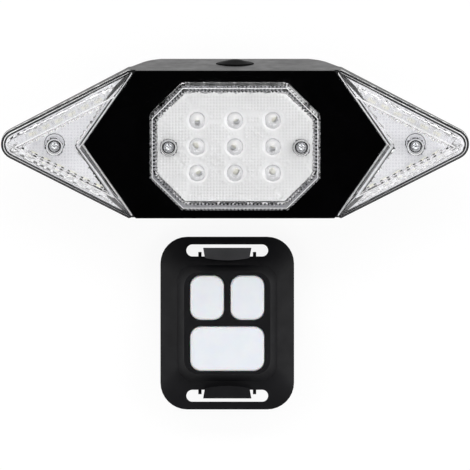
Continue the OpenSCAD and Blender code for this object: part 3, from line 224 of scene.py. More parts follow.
# Seat post cradle: a plate screwed to the housing's back, with a saddle and two ring hooks.
# The saddle is lined with soft rubber that grips the post.
rubber_black, rubber_dusty = (0.012, 0.012, 0.013, 1), (0.022, 0.022, 0.024, 1)
soft_rubber = moulded("soft_rubber", rubber_black, rubber_dusty,
                      rough=(0.6, 0.8), grain=0.25, depth=0.02, specular=0.35)
eased("post_cradle", "lamp", housing_plastic, width=0.3)
eased("cradle_lining", "lamp", soft_rubber, width=0.2)


# Screws: small cross-head screws of zinc-plated steel, with domed heads and a faint turned grain.
# The ones in the lenses stand on black rubber washers, which keep water out.
def coat(names, material):
    """Gives CAD pieces a finish."""
    for name in names.split():
        nodes[name].data.materials.clear()
        nodes[name].data.materials.append(material)


def crisp(piece, angle):
    """Keeps a piece's edges crisp where its faces turn by more than that angle in degrees."""
    piece.data.set_sharp_from_angle(angle=math.radians(angle))


def metal(name, colour, metallic, rough, patch, detail=4, grain=None, grain_detail=2, depth=0.0):
    """Metal with patchy gloss and, where a size for it is given, a grain."""
    material, tree, shader = finish(name, {"Base Color": colour, "Metallic": metallic})
    patchy_gloss(tree, shader, rough, patch, detail)
    if grain:
        relief(tree, shader, noise(tree, grain, grain_detail), depth)
    return material


zinc_steel = metal("zinc_steel", (0.66, 0.67, 0.69, 1), metallic=1.0, rough=(0.16, 0.34), patch=0.5,
                   grain=0.2, depth=0.008)
coat("main_board_screws remote_screws", zinc_steel)
coat("lens_screw_washers", soft_rubber)
for screws in ("centre_lens_screws", "side_lens_screws", "cradle_screws"):
    heads = made_piece(screws + "_smooth", merged(screws, flatten=False), zinc_steel)
    crisp(heads, 35)
    stands_for(heads, screws, "lamp")

# Bought parts: a foil-wrapped battery on foam, the main board, its switch, socket and pins in the
# tub, and the board, switches and coin cell in the remote. Screwed, soldered or clipped in place,
# they are hidden in the closed cases, so they keep plain forms.
battery_foil = metal("battery_foil", (0.7, 0.71, 0.73, 1), metallic=0.9, rough=(0.25, 0.45), patch=3,
                     detail=5, grain=2.5, grain_detail=4, depth=0.06)
coat("battery left_lead right_lead", battery_foil)
foam_black, foam_dusty = (0.03, 0.03, 0.034, 1), (0.05, 0.05, 0.055, 1)
foam = moulded("foam", foam_black, foam_dusty, rough=(0.85, 0.95), grain=0.4, depth=0.1, specular=0.2)
coat("battery_foam", foam)
green_dark, green_light = (0.015, 0.11, 0.05, 1), (0.02, 0.14, 0.07, 1)
green_mask = moulded("green_mask", green_dark, green_light, rough=(0.25, 0.35), grain=0.6, depth=0.01)
coat("main_board remote_board", green_mask)
case_dark, case_worn = (0.02, 0.02, 0.022, 1), (0.03, 0.03, 0.033, 1)
case_black = moulded("case_black", case_dark, case_worn, rough=(0.4, 0.5), grain=0.3, depth=0.01)
coat("power_switch key_switches", case_black)
ochre_deep, ochre_pale = (0.6, 0.42, 0.06, 1), (0.65, 0.47, 0.09, 1)
ochre = moulded("ochre_plastic", ochre_deep, ochre_pale, rough=(0.35, 0.45), grain=0.3, depth=0.008)
coat("switch_plunger left_plunger right_plunger wide_plunger", ochre)
tinned = metal("tinned_sheet", (0.56, 0.57, 0.59, 1), metallic=1.0, rough=(0.2, 0.38), patch=0.8,
               grain=0.4, depth=0.006)
coat("charging_socket coin_cell cell_clip", tinned)
gold = metal("gold_pins", (0.75, 0.58, 0.26, 1), metallic=1.0, rough=(0.2, 0.35), patch=0.5, detail=3)
coat("board_link", gold)

# Seals: flat rings pressed into grooves between housing, bezel and lenses, and in the remote.
# Most are black rubber. The one under the centre lens is grey silicone, which shows through the
# clear wall as a row of teeth.
coat("bezel_seal remote_seal left_lens_seal right_lens_seal", soft_rubber)
silicone_grey, silicone_pale = (0.33, 0.33, 0.35, 1), (0.39, 0.39, 0.41, 1)
grey_silicone = moulded("grey_silicone", silicone_grey, silicone_pale,
                        rough=(0.45, 0.6), grain=0.5, depth=0.015)
coat("centre_lens_seal", grey_silicone)

# Light boards: thin white boards, printed with a fine grid of grey dots that shows through the
# lenses. The arms' boards carry rows of flat lights, white cases with pale yellow windows, and a
# thin white film round each of these boards hides the dark seat beside it.
white_mask, tree, shader = finish("white_mask", {"Specular IOR Level": 0.4})
place = node(tree, "ShaderNodeTexCoord").outputs["Object"]
dot_pitch, dot_stray = 1.05, 0.15
dots = node(tree, "ShaderNodeTexVoronoi", {
    "Vector": place, "Scale": 1 / (dot_pitch * MM), "Randomness": dot_stray})
share = spread(tree, dots.outputs["Distance"], 1, 0, start=0.25, end=0.5)
mask_white, mask_dot = (0.84, 0.84, 0.86, 1), (0.7, 0.7, 0.73, 1)
tree.links.new(blend_colours(tree, share, mask_white, mask_dot), shader.inputs["Base Color"])
patchy_gloss(tree, shader, (0.3, 0.42), size=4)
relief(tree, shader, noise(tree, 0.5, detail=3), 0.01)
coat("light_board left_arm_board right_arm_board", white_mask)

case_white, case_bright = (0.74, 0.74, 0.73, 1), (0.8, 0.8, 0.78, 1)
chip_white = moulded("chip_white", case_white, case_bright, rough=(0.35, 0.5), grain=0.3, depth=0.01)
window_yellow, window_pale = (0.84, 0.82, 0.7, 1), (0.86, 0.85, 0.77, 1)
phosphor = moulded("phosphor", window_yellow, window_pale, rough=(0.4, 0.5), grain=0.3, depth=0.01)
window_in, window_depth = 0.25, 0.06
for lights in ("left_arm_lights", "right_arm_lights"):
    cases = merged(lights)
    tops = [face for face in cases.faces if face.normal.z > upward]
    bmesh.ops.inset_individual(cases, faces=tops, thickness=window_in * MM, depth=-window_depth * MM)
    for window in tops:
        window.material_index = 1
    piece = made_piece(lights + "_cases", cases, chip_white)
    piece.data.materials.append(phosphor)
    crisp(piece, 30)
    stands_for(piece, lights, "lamp")

arm_angle, apex_x, tip_r = math.radians(27.15), 84.15, 5.2
bezel_low, bezel_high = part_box("front_bezel")
lamp_y = (bezel_low.y + bezel_high.y) / 2
notch_tip, half_h = bezel_high.x / MM, (bezel_high.y - bezel_low.y) / 2 / MM
notch_root = 33.16
notch_out = Vector((half_h, notch_tip - notch_root)).normalized()
edge_in = Vector((-math.sin(arm_angle), -math.cos(arm_angle)))


def film_corner(edge, notch):
    """Upper point that lies so far in from an arm's outer edge and from the bezel's edge."""
    rows = Matrix((edge_in, notch_out))
    return rows.inverted() @ Vector((edge + edge_in.x * apex_x, notch + notch_out.x * notch_tip))


def film_tip(edge, steps=10):
    """Points round the rounded tip of an arm, so far in from its edge, from above to below."""
    centre_x, reach = apex_x - tip_r / math.sin(arm_angle), math.pi / 2 - arm_angle
    turns = [reach - 2 * reach * k / steps for k in range(steps + 1)]
    return [(centre_x + (tip_r - edge) * math.cos(a), (tip_r - edge) * math.sin(a)) for a in turns]


def film_notch(notch, height=0):
    """Point so far from the bezel's edge, at a height over the lamp's middle line."""
    return (notch_tip + (notch - height * notch_out.y) / notch_out.x, height)


def below(point):
    """The point's mirror image under the lamp's middle line."""
    return (point[0], -point[1])


film_out, film_in, film_start, film_end = 1.9, 3.0, 1.35, 2.6
film_z, film_t, film_slit = 0.004, 0.016, 0.05
outer_corner, inner_corner = film_corner(film_out, film_start), film_corner(film_in, film_end)
outline = [outer_corner] + film_tip(film_out) + [below(outer_corner)]
outline += [film_notch(film_start), film_notch(film_end)]
outline += [below(inner_corner)] + film_tip(film_in)[::-1] + [inner_corner]
outline += [film_notch(film_end, film_slit), film_notch(film_start, film_slit)]
film_bright = (0.86, 0.86, 0.88, 1)
film_white = moulded("film_white", mask_white, film_bright, rough=(0.4, 0.55), grain=0.4, depth=0.01)
for side, name in ((-1, "left_film"), (1, "right_film")):
    film = bmesh.new()
    sheet = film.faces.new([film.verts.new((side * x * MM, lamp_y + y * MM, seat_top + film_z * MM))
                            for x, y in outline])
    raised = bmesh.ops.extrude_face_region(film, geom=[sheet], use_keep_orig=True)["geom"]
    for part in raised:
        if isinstance(part, bmesh.types.BMVert):
            part.co.z += film_t * MM
    bmesh.ops.recalc_face_normals(film, faces=film.faces)
    piece = made_piece(name, film, film_white)
    crisp(piece, 30)
    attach(piece, "lamp")


# Reflector: a white moulded tray round the lights, with a dished lip round each in a brighter white,
# which is painted light that stands for glints and lifts the shade in the cups.
# Its top is a field of small square cushions, which scatter the light between the lips.
def islands(name):
    """Lowest and highest corners of each separate solid of a CAD piece."""
    shape = merged(name, flatten=False)
    left = set(shape.verts)
    boxes = []
    while left:
        reached = [left.pop()]
        for vert in reached:
            for edge in vert.link_edges:
                other = edge.other_vert(vert)
                if other in left:
                    left.remove(other)
                    reached.append(other)
        axes = list(zip(*(vert.co for vert in reached)))
        boxes.append((Vector([min(axis) for axis in axes]), Vector([max(axis) for axis in axes])))
    shape.free()
    return sorted(boxes, key=lambda box: (round(box[0].x, 5), round(box[0].y, 5)))


level_face, level_slack = 0.99, 0.02


def cut_along(shape, faces, place, across):
    """Cuts faces of a surface along the plane through a place, square to a direction."""
    parts = faces + list(dict.fromkeys(edge for face in faces for edge in face.edges))
    parts += list(dict.fromkeys(vert for face in faces for vert in face.verts))
    bmesh.ops.bisect_plane(shape, geom=parts, plane_co=place, plane_no=across)


def cut_grid(shape, level, up, pitch):
    """Cuts the flat faces at a level along a square grid, and returns the whole squares."""
    def flat_faces():
        return [face for face in shape.faces if face.normal.z * up > level_face
                and abs(face.calc_center_median().z - level) < level_slack * MM]

    for axis in (0, 1):
        across = Vector((axis == 0, axis == 1, 0))
        reach = [vert.co[axis] for face in flat_faces() for vert in face.verts]
        first = math.ceil(min(reach) / (pitch * MM))
        last = math.floor(max(reach) / (pitch * MM))
        for k in range(first, last + 1):
            cut_along(shape, flat_faces(), across * k * pitch * MM, across)
    whole = 0.98 * (pitch * MM) ** 2
    return [face for face in flat_faces() if face.calc_area() > whole]


reflector_pale, reflector_bright = (0.78, 0.78, 0.78, 1), (0.82, 0.82, 0.82, 1)
reflector_white = moulded("reflector_white", reflector_pale, reflector_bright,
                          rough=(0.25, 0.4), grain=0.6, depth=0.015)
# The lips' brighter white is painted light: it stands for glints and for light in the shaded cups.
lip_lit_pale, lip_lit_bright = (0.89, 0.89, 0.89, 1), (0.92, 0.92, 0.92, 1)
lip_painted_light = moulded("lip_painted_light", lip_lit_pale, lip_lit_bright, rough=(0.2, 0.3), grain=0.6, depth=0.01)
light_boxes = islands("round_lights")
light_places = [((low.x + high.x) / 2, (low.y + high.y) / 2, low.z) for low, high in light_boxes]
tray = merged("reflector_plate")
tray_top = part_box("reflector_plate")[1].z
cup_r, lip_r, lip_depth, chamfer = 3.4, 2.6, 0.8, 0.2


def nearest_light(point):
    """Place of the light that is nearest to a point."""
    return Vector(min(light_places, key=lambda place: (Vector(place) - point).length))


def on_mouth(vert):
    """Whether a point of the tray lies on the mouth of a light's cup."""
    mouth_slack, round_slack = 0.03, 0.05
    off_round = (vert.co - nearest_light(vert.co)).xy.length - cup_r * MM
    return abs(vert.co.z - tray_top) < mouth_slack * MM and abs(off_round) < round_slack * MM


mouths = [edge for edge in tray.edges if all(on_mouth(vert) for vert in edge.verts)]
bmesh.ops.bevel(tray, geom=mouths, offset=chamfer * MM, segments=1, affect="EDGES")
for vert in tray.verts:
    if 0.5 * chamfer * MM < tray_top - vert.co.z < 2 * chamfer * MM:
        middle = nearest_light(vert.co)
        away = Vector((vert.co.x - middle.x, vert.co.y - middle.y, 0)).normalized()
        vert.co = Vector((middle.x, middle.y, tray_top - lip_depth * MM)) + away * lip_r * MM
tray.normal_update()
# The dished lips take the brighter white, the painted light.
for face in tray.faces:
    dished = 0.3 < face.normal.z < 0.98
    if dished and face.calc_center_median().z > tray_top - lip_depth * MM:
        face.material_index = 1
cushion_pitch, cushion_in, cushion_h = 1.05, 0.22, 0.14
cushions = cut_grid(tray, tray_top, 1, cushion_pitch)
bmesh.ops.inset_individual(tray, faces=cushions, thickness=cushion_in * MM, depth=cushion_h * MM)
piece = made_piece("reflector_tray", tray, reflector_white)
piece.data.materials.append(lip_painted_light)
crisp(piece, 20)
stands_for(piece, "reflector_plate", "lamp")


# Round lights: domes of milky clear resin on a collar, each with a clearer spot near its top.
# Inside stand a cup with the die in it and a bare post, cut from tinned sheet.
def blend_shaders(tree, share, shader, other):
    """Shows one shader or another on a piece, by a share from 0 to 1."""
    mix = node(tree, "ShaderNodeMixShader", {0: share, 1: shader, 2: other})
    tree.links.new(mix.outputs["Shader"], tree.nodes["Material Output"].inputs["Surface"])


def clear(name, colour, rough, ior, through, tint=(0.96, 0.96, 0.96, 1), grain=None, depth=0.0):
    """Clear resin or plastic, which lets lamp light pass straight onto what lies behind it."""
    material, tree, shader = finish(name, {
        "Base Color": colour, "Roughness": rough, "IOR": ior, "Transmission Weight": through})
    if grain:
        relief(tree, shader, noise(tree, grain, detail=3, roughness=0.6), depth)
    path = node(tree, "ShaderNodeLightPath")
    passed = node(tree, "ShaderNodeBsdfTransparent", {"Color": tint})
    blend_shaders(tree, path.outputs["Is Shadow Ray"], shader.outputs["BSDF"], passed.outputs["BSDF"])
    return material


def repeat_tree():
    """A tree that puts one piece at each point of a mesh, each turned by its own angle."""
    tree = bpy.data.node_groups.new("repeat_at_places", "GeometryNodeTree")
    for name, kind in (("Geometry", "Geometry"), ("Piece", "Object"), ("Finish", "Material"),
                       ("Greatest turn", "Float"), ("Seed", "Int")):
        tree.interface.new_socket(name, in_out="INPUT", socket_type="NodeSocket" + kind)
    tree.interface.new_socket("Geometry", in_out="OUTPUT", socket_type="NodeSocketGeometry")
    given = node(tree, "NodeGroupInput").outputs
    piece = node(tree, "GeometryNodeObjectInfo", {"Object": given["Piece"]})
    greatest_in, number_out = 3, 1
    turn = node(tree, "FunctionNodeRandomValue", {
        "Seed": given["Seed"], greatest_in: given["Greatest turn"]}, data_type="FLOAT")
    angles = node(tree, "ShaderNodeCombineXYZ", {"Z": turn.outputs[number_out]})
    placed = node(tree, "GeometryNodeInstanceOnPoints", {
        "Points": given["Geometry"], "Instance": piece.outputs["Geometry"],
        "Rotation": angles.outputs["Vector"]})
    whole = node(tree, "GeometryNodeRealizeInstances", {"Geometry": placed.outputs["Instances"]})
    coated = node(tree, "GeometryNodeSetMaterial", {
        "Geometry": whole.outputs["Geometry"], "Material": given["Finish"]})
    node(tree, "NodeGroupOutput", {"Geometry": coated.outputs["Geometry"]})
    return tree


repeat_at_places = repeat_tree()


def repeated(name, places, template, material, turn=0.0, seed=0):
    """Copies of a piece at several places, as one mesh. The piece itself is removed."""
    mesh = bpy.data.meshes.new(name)
    mesh.from_pydata(places, [], [])
    group = bpy.data.objects.new(name, mesh)
    bpy.context.scene.collection.objects.link(group)
    copies = group.modifiers.new("repeat", "NODES")
    copies.node_group = repeat_at_places
    values = {"Piece": template, "Finish": material, "Greatest turn": turn, "Seed": seed}
    for socket in repeat_at_places.interface.items_tree:
        if socket.in_out == "INPUT" and socket.name in values:
            copies[socket.identifier] = values[socket.name]
    bake_down(group)
    bpy.data.objects.remove(template)
    return group


def revolved(profile, steps=40):
    """A surface turned from a profile of radius and height in millimetres, closed on the axis."""
    shape = bmesh.new()
    rings = []
    for radius, height in profile:
        turns = [math.tau * k / steps for k in range(steps if radius else 1)]
        ring = [(radius * math.cos(a) * MM, radius * math.sin(a) * MM, height * MM) for a in turns]
        rings.append([shape.verts.new(place) for place in ring])
    for low, high in zip(rings, rings[1:]):
        for k in range(steps):
            after = (k + 1) % steps
            corners = [low[k % len(low)], low[after % len(low)],
                       high[after % len(high)], high[k % len(high)]]
            shape.faces.new(list(dict.fromkeys(corners)))
    return shape


light_low, light_high = light_boxes[0]
light_height = (light_high.z - light_low.z) / MM
collar_r = (light_high.x - light_low.x) / 2 / MM
collar_h, collar_ease, foot_ease = 1.0, 0.15, 0.1
dome_r, dome_steps = 2.5, 12
hair = 0.03
milky_resin = clear("milky_resin", (0.96, 0.96, 0.97, 1), rough=0.14, ior=1.45, through=0.45)
clear_spot = clear("clear_spot", (0.93, 0.93, 0.94, 1), rough=0.08, ior=1.45, through=0.95)
profile = [(0, hair), (collar_r - foot_ease, hair), (collar_r, foot_ease),
           (collar_r, collar_h - collar_ease), (collar_r - collar_ease, collar_h),
           (dome_r + foot_ease, collar_h), (dome_r, collar_h + foot_ease)]
rises = [math.pi / 2 * k / dome_steps for k in range(dome_steps)]
profile += [(dome_r * math.cos(a), light_height - dome_r + dome_r * math.sin(a)) for a in rises]
profile += [(0, light_height)]
template = made_piece("light_dome", revolved(profile), milky_resin)
domes = repeated("light_domes", light_places, template, milky_resin)
crisp(domes, 40)
domes.data.materials.append(clear_spot)
spot_r, spot_off, spot_turn = 0.95, 0.55, 2.4
for k, (low, high) in enumerate(light_boxes):
    way = Vector((math.cos(spot_turn * k), math.sin(spot_turn * k), 0))
    spot = (low + high) / 2 + spot_off * MM * way
    for face in domes.data.polygons:
        if (face.center - spot).xy.length < spot_r * MM and face.center.z > high.z - dome_r * MM:
            face.material_index = 1
stands_for(domes, "round_lights", "lamp")

cup_profile = [(0, 2.2), (0.3, 2.2), (0.35, 3.3), (0.6, 3.5),
               (0.65, 4.25), (0.55, 4.25), (0.4, 3.75), (0, 3.75)]
cup = revolved(cup_profile, steps=24)
bar_w, bar_low = 0.35, 1.2
post_high, post_x = 4.1, 1.05
cap_w, cap_h, cap_x = 0.55, 0.25, 0.95
stem_high, stem_x = 2.4, -0.1
for size, place in (
        ((bar_w, bar_w, post_high - bar_low), (post_x, 0, (bar_low + post_high) / 2)),
        ((cap_w, bar_w, cap_h), (cap_x, 0, post_high)),
        ((bar_w, bar_w, stem_high - bar_low), (stem_x, 0, (bar_low + stem_high) / 2))):
    bar = bmesh.ops.create_cube(cup, size=1)
    stretch = Matrix.Diagonal(Vector(size) * MM).to_4x4()
    move = Matrix.Translation(Vector(place) * MM)
    bmesh.ops.transform(cup, matrix=move @ stretch, verts=bar["verts"])
lead_metal = metal("lead_metal", (0.7, 0.71, 0.73, 1), metallic=0.6, rough=(0.35, 0.5), patch=0.4,
                   detail=3)
template = made_piece("light_frame", cup, lead_metal)
frames = repeated("light_frames", light_places, template, lead_metal, turn=math.tau, seed=7)
crisp(frames, 40)
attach(frames, "lamp")

die_profile = [(0, 3.76), (0.42, 3.8), (0.44, 3.9), (0.3, 4.05), (0, 4.1)]
template = made_piece("light_die", revolved(die_profile, steps=16), phosphor)
dies = repeated("light_dies", light_places, template, phosphor)
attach(dies, "lamp")

# Front bezel: the six-sided panel of deep black plastic that closes the tub, moulded in one piece.
# Its face is so dark and smooth that it is almost free of reflections.
bezel_black, bezel_drift = (0.0005, 0.0005, 0.0006, 1), (0.0009, 0.0009, 0.0011, 1)
bezel_plastic = moulded("bezel_plastic", bezel_black, bezel_drift,
                        rough=(0.2, 0.26), grain=0.8, depth=0.002, specular=0.06)
eased("front_bezel", "lamp", bezel_plastic, width=0.2)

# Lenses: clear moulded shells with light ribs inside their walls, polished outside. The inside of
# each face is a field of small pillows, which spread the light, and the side lenses' upper slopes
# have a grain and a greyer tint, which is painted shade. The crease round each face and the step round
# the flange have a white frost, which is painted highlight.
lens_clear = clear("lens_clear", (0.99, 0.99, 0.995, 1), rough=0.02, ior=1.49, through=1.0)
# The frost's white is a painted highlight on the creases and flange edges.
lens_frost_painted_glint = clear("lens_frost_painted_glint", (0.95, 0.95, 0.96, 1), rough=0.3, ior=1.49, through=0.1)
# The grain's greyer tint is painted shade, on the slopes and on the light that passes through them.
lens_grain_painted_shade = clear("lens_grain_painted_shade", (0.78, 0.78, 0.795, 1), rough=0.05, ior=1.49, through=1.0,
                   tint=(0.86, 0.86, 0.87, 1), grain=0.7, depth=0.12)
frosted_glint, grained_shaded = 1, 2
flange_top = bezel_high.z
rim_step = 0.5


def from_notch(point):
    """Distance of a point in metres from the bezel's edge, in millimetres."""
    return (abs(point.x) / MM - notch_tip) * notch_out.x + abs(point.y - lamp_y) / MM * notch_out.y


def slim_columns(shape, screws, radius):
    """Draws in the columns round a lens's screws close to their holes."""
    slim_r, round_slack = 2.75, 0.04
    axis_x, axis_y = screw_place(screws)
    for vert in shape.verts:
        axis = Vector((math.copysign(axis_x, vert.co.x), axis_y, vert.co.z))
        away = vert.co - axis
        if abs(away.length / MM - radius) < round_slack:
            vert.co = axis + away.normalized() * slim_r * MM


def lift_feet(shape, top):
    """Lifts the undersides of a lens, well below its top, a hair off what they rest on."""
    least_drop = 3
    feet = {vert for face in shape.faces if face.normal.z < -level_face
            and face.calc_center_median().z < top - least_drop * MM for vert in face.verts}
    for vert in feet:
        vert.co.z += hair * MM


def lies_at(edge, level):
    """Whether an edge lies level at a height."""
    return all(abs(vert.co.z - level) < level_slack * MM for vert in edge.verts)


def rim_edges(shape, top, at_side):
    """Edges round a lens's face, but for a side lens's lower notch, and round its flange."""
    least_turn, upright, notch_w = 0.3, 0.1, 1.3
    rim = []
    for edge in shape.edges:
        if edge.is_convex and edge.calc_face_angle(0) > least_turn:
            outward = any(face.normal.x * face.calc_center_median().x > 0
                          and abs(face.normal.z) < upright for face in edge.link_faces)
            middle = (edge.verts[0].co + edge.verts[1].co) / 2
            lower_notch = at_side and middle.y < lamp_y and from_notch(middle) < notch_w
            if (lies_at(edge, top) and not lower_notch) or (lies_at(edge, flange_top) and outward):
                rim.append(edge)
    return rim


def frost_notch_glints(shape):
    """Frosts the narrow strips of a side lens's flange beside the bezel, as painted highlight lines."""
    strip_w = 0.65
    side = math.copysign(1, next(iter(shape.verts)).co.x)
    lowest, highest = flange_top - (rim_step + level_slack) * MM, flange_top + level_slack * MM

    def flange_faces():
        return [face for face in shape.faces if face.normal.z > level_face
                and lowest < face.calc_center_median().z < highest]

    for half in (-1, 1):
        across = Vector((side * notch_out.x, half * notch_out.y, 0))
        place = Vector((side * notch_tip * MM, lamp_y, flange_top)) + across * strip_w * MM
        cut_along(shape, flange_faces(), place, across)
    for face in flange_faces():
        if from_notch(face.calc_center_median()) < strip_w:
            face.material_index = frosted_glint


def grain_and_shade_slopes(shape):
    """Grains the inside of a side lens's upper slopes and tints them greyer, which is painted shade."""
    for face in shape.faces:
        slopes = -0.97 < face.normal.z < -0.3
        if slopes and face.calc_center_median().y > lamp_y:
            face.material_index = grained_shaded


def lens_shell(name, screws, column_r, wall, pitch, depth, ease):
    """A clear shell, a hair off what it rests on, eased round its front and pillowed behind it."""
    at_side = name != "centre_lens"
    shape = merged(name)
    slim_columns(shape, screws, column_r)
    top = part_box(name)[1].z
    lift_feet(shape, top)
    crease = bmesh.ops.bevel(shape, geom=rim_edges(shape, top, at_side), offset=ease * MM,
                             segments=2, profile=0.5, affect="EDGES")
    # The crease's frost is a painted highlight line round the face.
    for face in crease["faces"]:
        face.material_index = frosted_glint
    shape.normal_update()
    if at_side:
        frost_notch_glints(shape)
        grain_and_shade_slopes(shape)
    cells = cut_grid(shape, top - wall * MM, -1, pitch)
    bmesh.ops.poke(shape, faces=cells, offset=depth * MM)
    piece = made_piece(name + "_shell", shape, lens_clear)
    piece.data.materials.append(lens_frost_painted_glint)
    piece.data.materials.append(lens_grain_painted_shade)
    crisp(piece, 24)
    weigh_normals(piece)
    stands_for(bake_down(piece), name, "lamp")


lens_shell("centre_lens", "centre_lens_screws", column_r=3.5, wall=1.6, pitch=1.0, depth=0.09, ease=0.15)
for side_lens in ("left_lens", "right_lens"):
    lens_shell(side_lens, "side_lens_screws", column_r=3.3, wall=1.4, pitch=1.1, depth=0.1, ease=0.28)

# Power button and socket flap: soft black rubber, let into the housing's walls.
# The button is of a dull, deeper black than the plastic round it.
button_black, button_dusty = (0.0012, 0.0012, 0.0014, 1), (0.0025, 0.0025, 0.0028, 1)
button_rubber = moulded("button_rubber", button_black, button_dusty,
                        rough=(0.55, 0.7), grain=0.25, depth=0.012, specular=0.06)
eased("power_button", "power_button", button_rubber, width=0.15)
eased("socket_flap", "socket_flap", soft_rubber, width=0.25)
eased("flap_anchor", "lamp", soft_rubber, width=0.2)

# Remote: black satin cover screwed to a base, with a wedge-shaped rubber pad for the handlebar.
# Of its two strap hooks, moulded in one with the cover, the upper one is painted paler, as painted light
# falling on it from above.
remote_black, remote_worn = (0.0038, 0.0037, 0.0047, 1), (0.0055, 0.0054, 0.0068, 1)
remote_plastic = moulded("remote_plastic", remote_black, remote_worn,
                         rough=(0.46, 0.56), grain=0.3, depth=0.015, specular=0.2)
cover = eased("remote_cover", "remote", remote_plastic, width=0.3)
# The upper hook's paler grey is painted light from above.
hook_lit_grey, hook_lit_drift = (0.062, 0.062, 0.066, 1), (0.076, 0.076, 0.081, 1)
upper_hook_painted_light = moulded("upper_hook_painted_light", hook_lit_grey, hook_lit_drift,
                       rough=(0.5, 0.6), grain=0.4, depth=0.01, specular=0.3)
cover.data.materials.append(upper_hook_painted_light)
lean = math.radians(10)
remote_up = Vector((0, math.sin(lean), math.cos(lean)))
remote_long = Vector((0, math.cos(lean), -math.sin(lean)))
cover_low, cover_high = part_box("remote_cover")
cover_middle = (cover_low + cover_high) / 2
corners = [vert.co - cover_middle for vert in cover.data.vertices]
rim_h, hook_half_w, hook_start, hook_end = 2.5, 8.15, 20.9, 25.4
rim_level = min(corner.dot(remote_up) for corner in corners) + rim_h * MM
reaches = [corner.dot(remote_long) for corner in corners]
hook_middle = (min(reaches) + max(reaches)) / 2
on_lit_hook = [abs(corner.x) < hook_half_w * MM and corner.dot(remote_up) > rim_level
           and hook_start * MM < reach - hook_middle < hook_end * MM
           for corner, reach in zip(corners, reaches)]
# Faces of the upper hook take the paler grey, the painted light.
for face in cover.data.polygons:
    if all(on_lit_hook[k] for k in face.vertices):
        face.material_index = 1
eased("remote_base", "remote", remote_plastic, width=0.25)
eased("handlebar_pad", "remote", soft_rubber, width=0.4)


# Keys: white silicone, soft and slightly see-through. Their rounded rims are painted whiter than
# their faces, a painted highlight for the light that shows through them.
def silicone(name, colour, other):
    """Soft white silicone that drifts between two tones."""
    material, tree, shader = finish(name, {
        "Subsurface Weight": 0.2, "Subsurface Scale": 0.8 * MM, "Specular IOR Level": 0.35})
    blotch(tree, shader, colour, other, size=5)
    patchy_gloss(tree, shader, (0.38, 0.52), size=3)
    relief(tree, shader, noise(tree, 1.5, detail=3), 0.03)
    return material


key_face = silicone("key_face", (0.875, 0.91, 0.985, 1), (0.905, 0.935, 0.99, 1))
# The rims' whiter colour is a painted highlight.
key_rim_painted_light = silicone("key_rim_painted_light", (0.96, 0.96, 0.97, 1), (0.97, 0.97, 0.97, 1))
face_tilt = 0.96
for key in ("left_key", "right_key", "wide_key"):
    piece = eased(key, key, key_face, width=0.3, angle=20, segments=3)
    piece.data.materials.append(key_rim_painted_light)
    for face in piece.data.polygons:
        if face.normal.dot(remote_up) < face_tilt:
            face.material_index = 1

# Floor: a plain sheet of matt white card under the set. It shows as white, also in what mirrors it
# or lies behind a lens, and keeps a faint shadow of the lamp.
floor_half, floor_drop = 3.0, 0.05
floor_mesh = bpy.data.meshes.new("floor")
corners = [(-floor_half, -floor_half, 0), (floor_half, -floor_half, 0),
           (floor_half, floor_half, 0), (-floor_half, floor_half, 0)]
floor_mesh.from_pydata(corners, [], [(0, 1, 2, 3)])
floor = bpy.data.objects.new("floor", floor_mesh)
floor.location.z = -floor_drop * MM
bpy.context.scene.collection.objects.link(floor)
white_share, white_level = 0.85, 1.05
floor_white, tree, shader = finish("floor_white", {"Base Color": (0.9, 0.9, 0.9, 1), "Roughness": 0.8})
rays = node(tree, "ShaderNodeLightPath").outputs
seen = node(tree, "ShaderNodeMath", {0: rays["Is Camera Ray"], 1: rays["Is Glossy Ray"]},
            operation="MAXIMUM")
seen = node(tree, "ShaderNodeMath", {0: seen.outputs[0], 1: rays["Is Transmission Ray"]},
            operation="MAXIMUM")
share = node(tree, "ShaderNodeMath", {0: seen.outputs[0], 1: white_share}, operation="MULTIPLY")
glow = node(tree, "ShaderNodeEmission", {"Color": (1, 1, 1, 1), "Strength": white_level})
blend_shaders(tree, share.outputs[0], shader.outputs["BSDF"], glow.outputs["Emission"])
floor_mesh.materials.append(floor_white)
floor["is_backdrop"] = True

# Studio light: a pale room that is dark overhead, so that the black faces mirror little of it,
# with large soft boxes above, to the right, to the left and in front.
world = bpy.data.worlds.new("studio")
world.use_nodes = True
bpy.context.scene.world = world
tree = world.node_tree
room = tree.nodes["Background"]
room.inputs["Color"].default_value = (1, 1, 1, 1)
room_level, overhead_level = 0.7, 0.03
overhead_start, overhead_end = 0.6, 0.88
way = node(tree, "ShaderNodeTexCoord").outputs["Generated"]
height = node(tree, "ShaderNodeSeparateXYZ", {"Vector": way}).outputs["Z"]
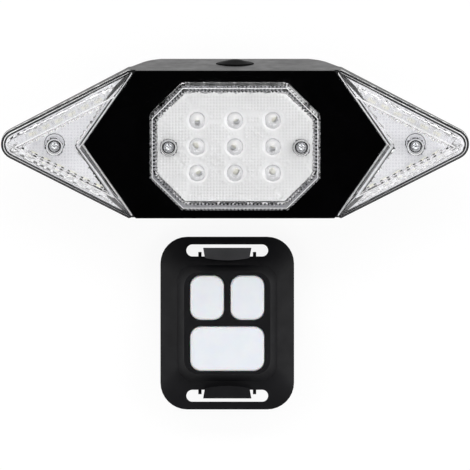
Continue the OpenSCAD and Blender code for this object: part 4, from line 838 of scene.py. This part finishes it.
wall_light = spread(tree, height, room_level, overhead_level, overhead_start, overhead_end)
rays = node(tree, "ShaderNodeLightPath").outputs
level = node(tree, "ShaderNodeMix", {"Factor": rays["Is Camera Ray"], "A": wall_light, "B": 1.0})
tree.links.new(level.outputs["Result"], room.inputs["Strength"])


def soft_box(name, place, size, power):
    """A soft box that faces the middle of the set."""
    light = bpy.data.lights.new(name, "AREA")
    light.shape = "RECTANGLE"
    light.size, light.size_y = size
    light.energy = power
    box = bpy.data.objects.new(name, light)
    box.location = place
    box.rotation_mode = "QUATERNION"
    box.rotation_quaternion = (-Vector(place)).to_track_quat("-Z", "Y")
    bpy.context.scene.collection.objects.link(box)


soft_box("upper_box", place=(0, 0.62, 0.78), size=(1.4, 0.25), power=4.0)
soft_box("right_box", place=(0.8, 0.1, 0.6), size=(0.5, 0.6), power=2.6)
soft_box("left_box", place=(-0.8, 0.1, 0.6), size=(0.5, 0.6), power=1.9)
soft_box("front_box", place=(0, -0.8, 0.6), size=(0.7, 0.5), power=1.2)

# Camera: far off with a long lens, above the faces and tilted ten degrees to the lamp's upper side.
# The picture's scale is set at the level of the lamp's face.
picture_px, px_per_mm = 470, 3.0
face_z, aim_drop = 37, 37.09
distance = 6.0
tilt = math.radians(10)
mounts = {mount["name"]: mount for mount in frame["record"]["mounts"]}
lamp_middle = mounts["seat_post_cradle"]["pos_m"][1]
aim = Vector((0, lamp_middle - aim_drop * MM, 0))
back = Vector((0, math.sin(tilt), math.cos(tilt)))
right = Vector((1, 0, 0))
camera_data = bpy.data.cameras.new("camera")
width_at_face = picture_px / px_per_mm * MM
camera_data.lens = camera_data.sensor_width * (distance - face_z * MM) / width_at_face
camera = bpy.data.objects.new("camera", camera_data)
turn = Matrix((right, back.cross(right), back)).transposed().to_4x4()
camera.matrix_world = Matrix.Translation(aim + back * distance) @ turn
bpy.context.scene.collection.objects.link(camera)
bpy.context.scene.camera = camera
bpy.context.scene.view_settings.view_transform = "Standard"

low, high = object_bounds()
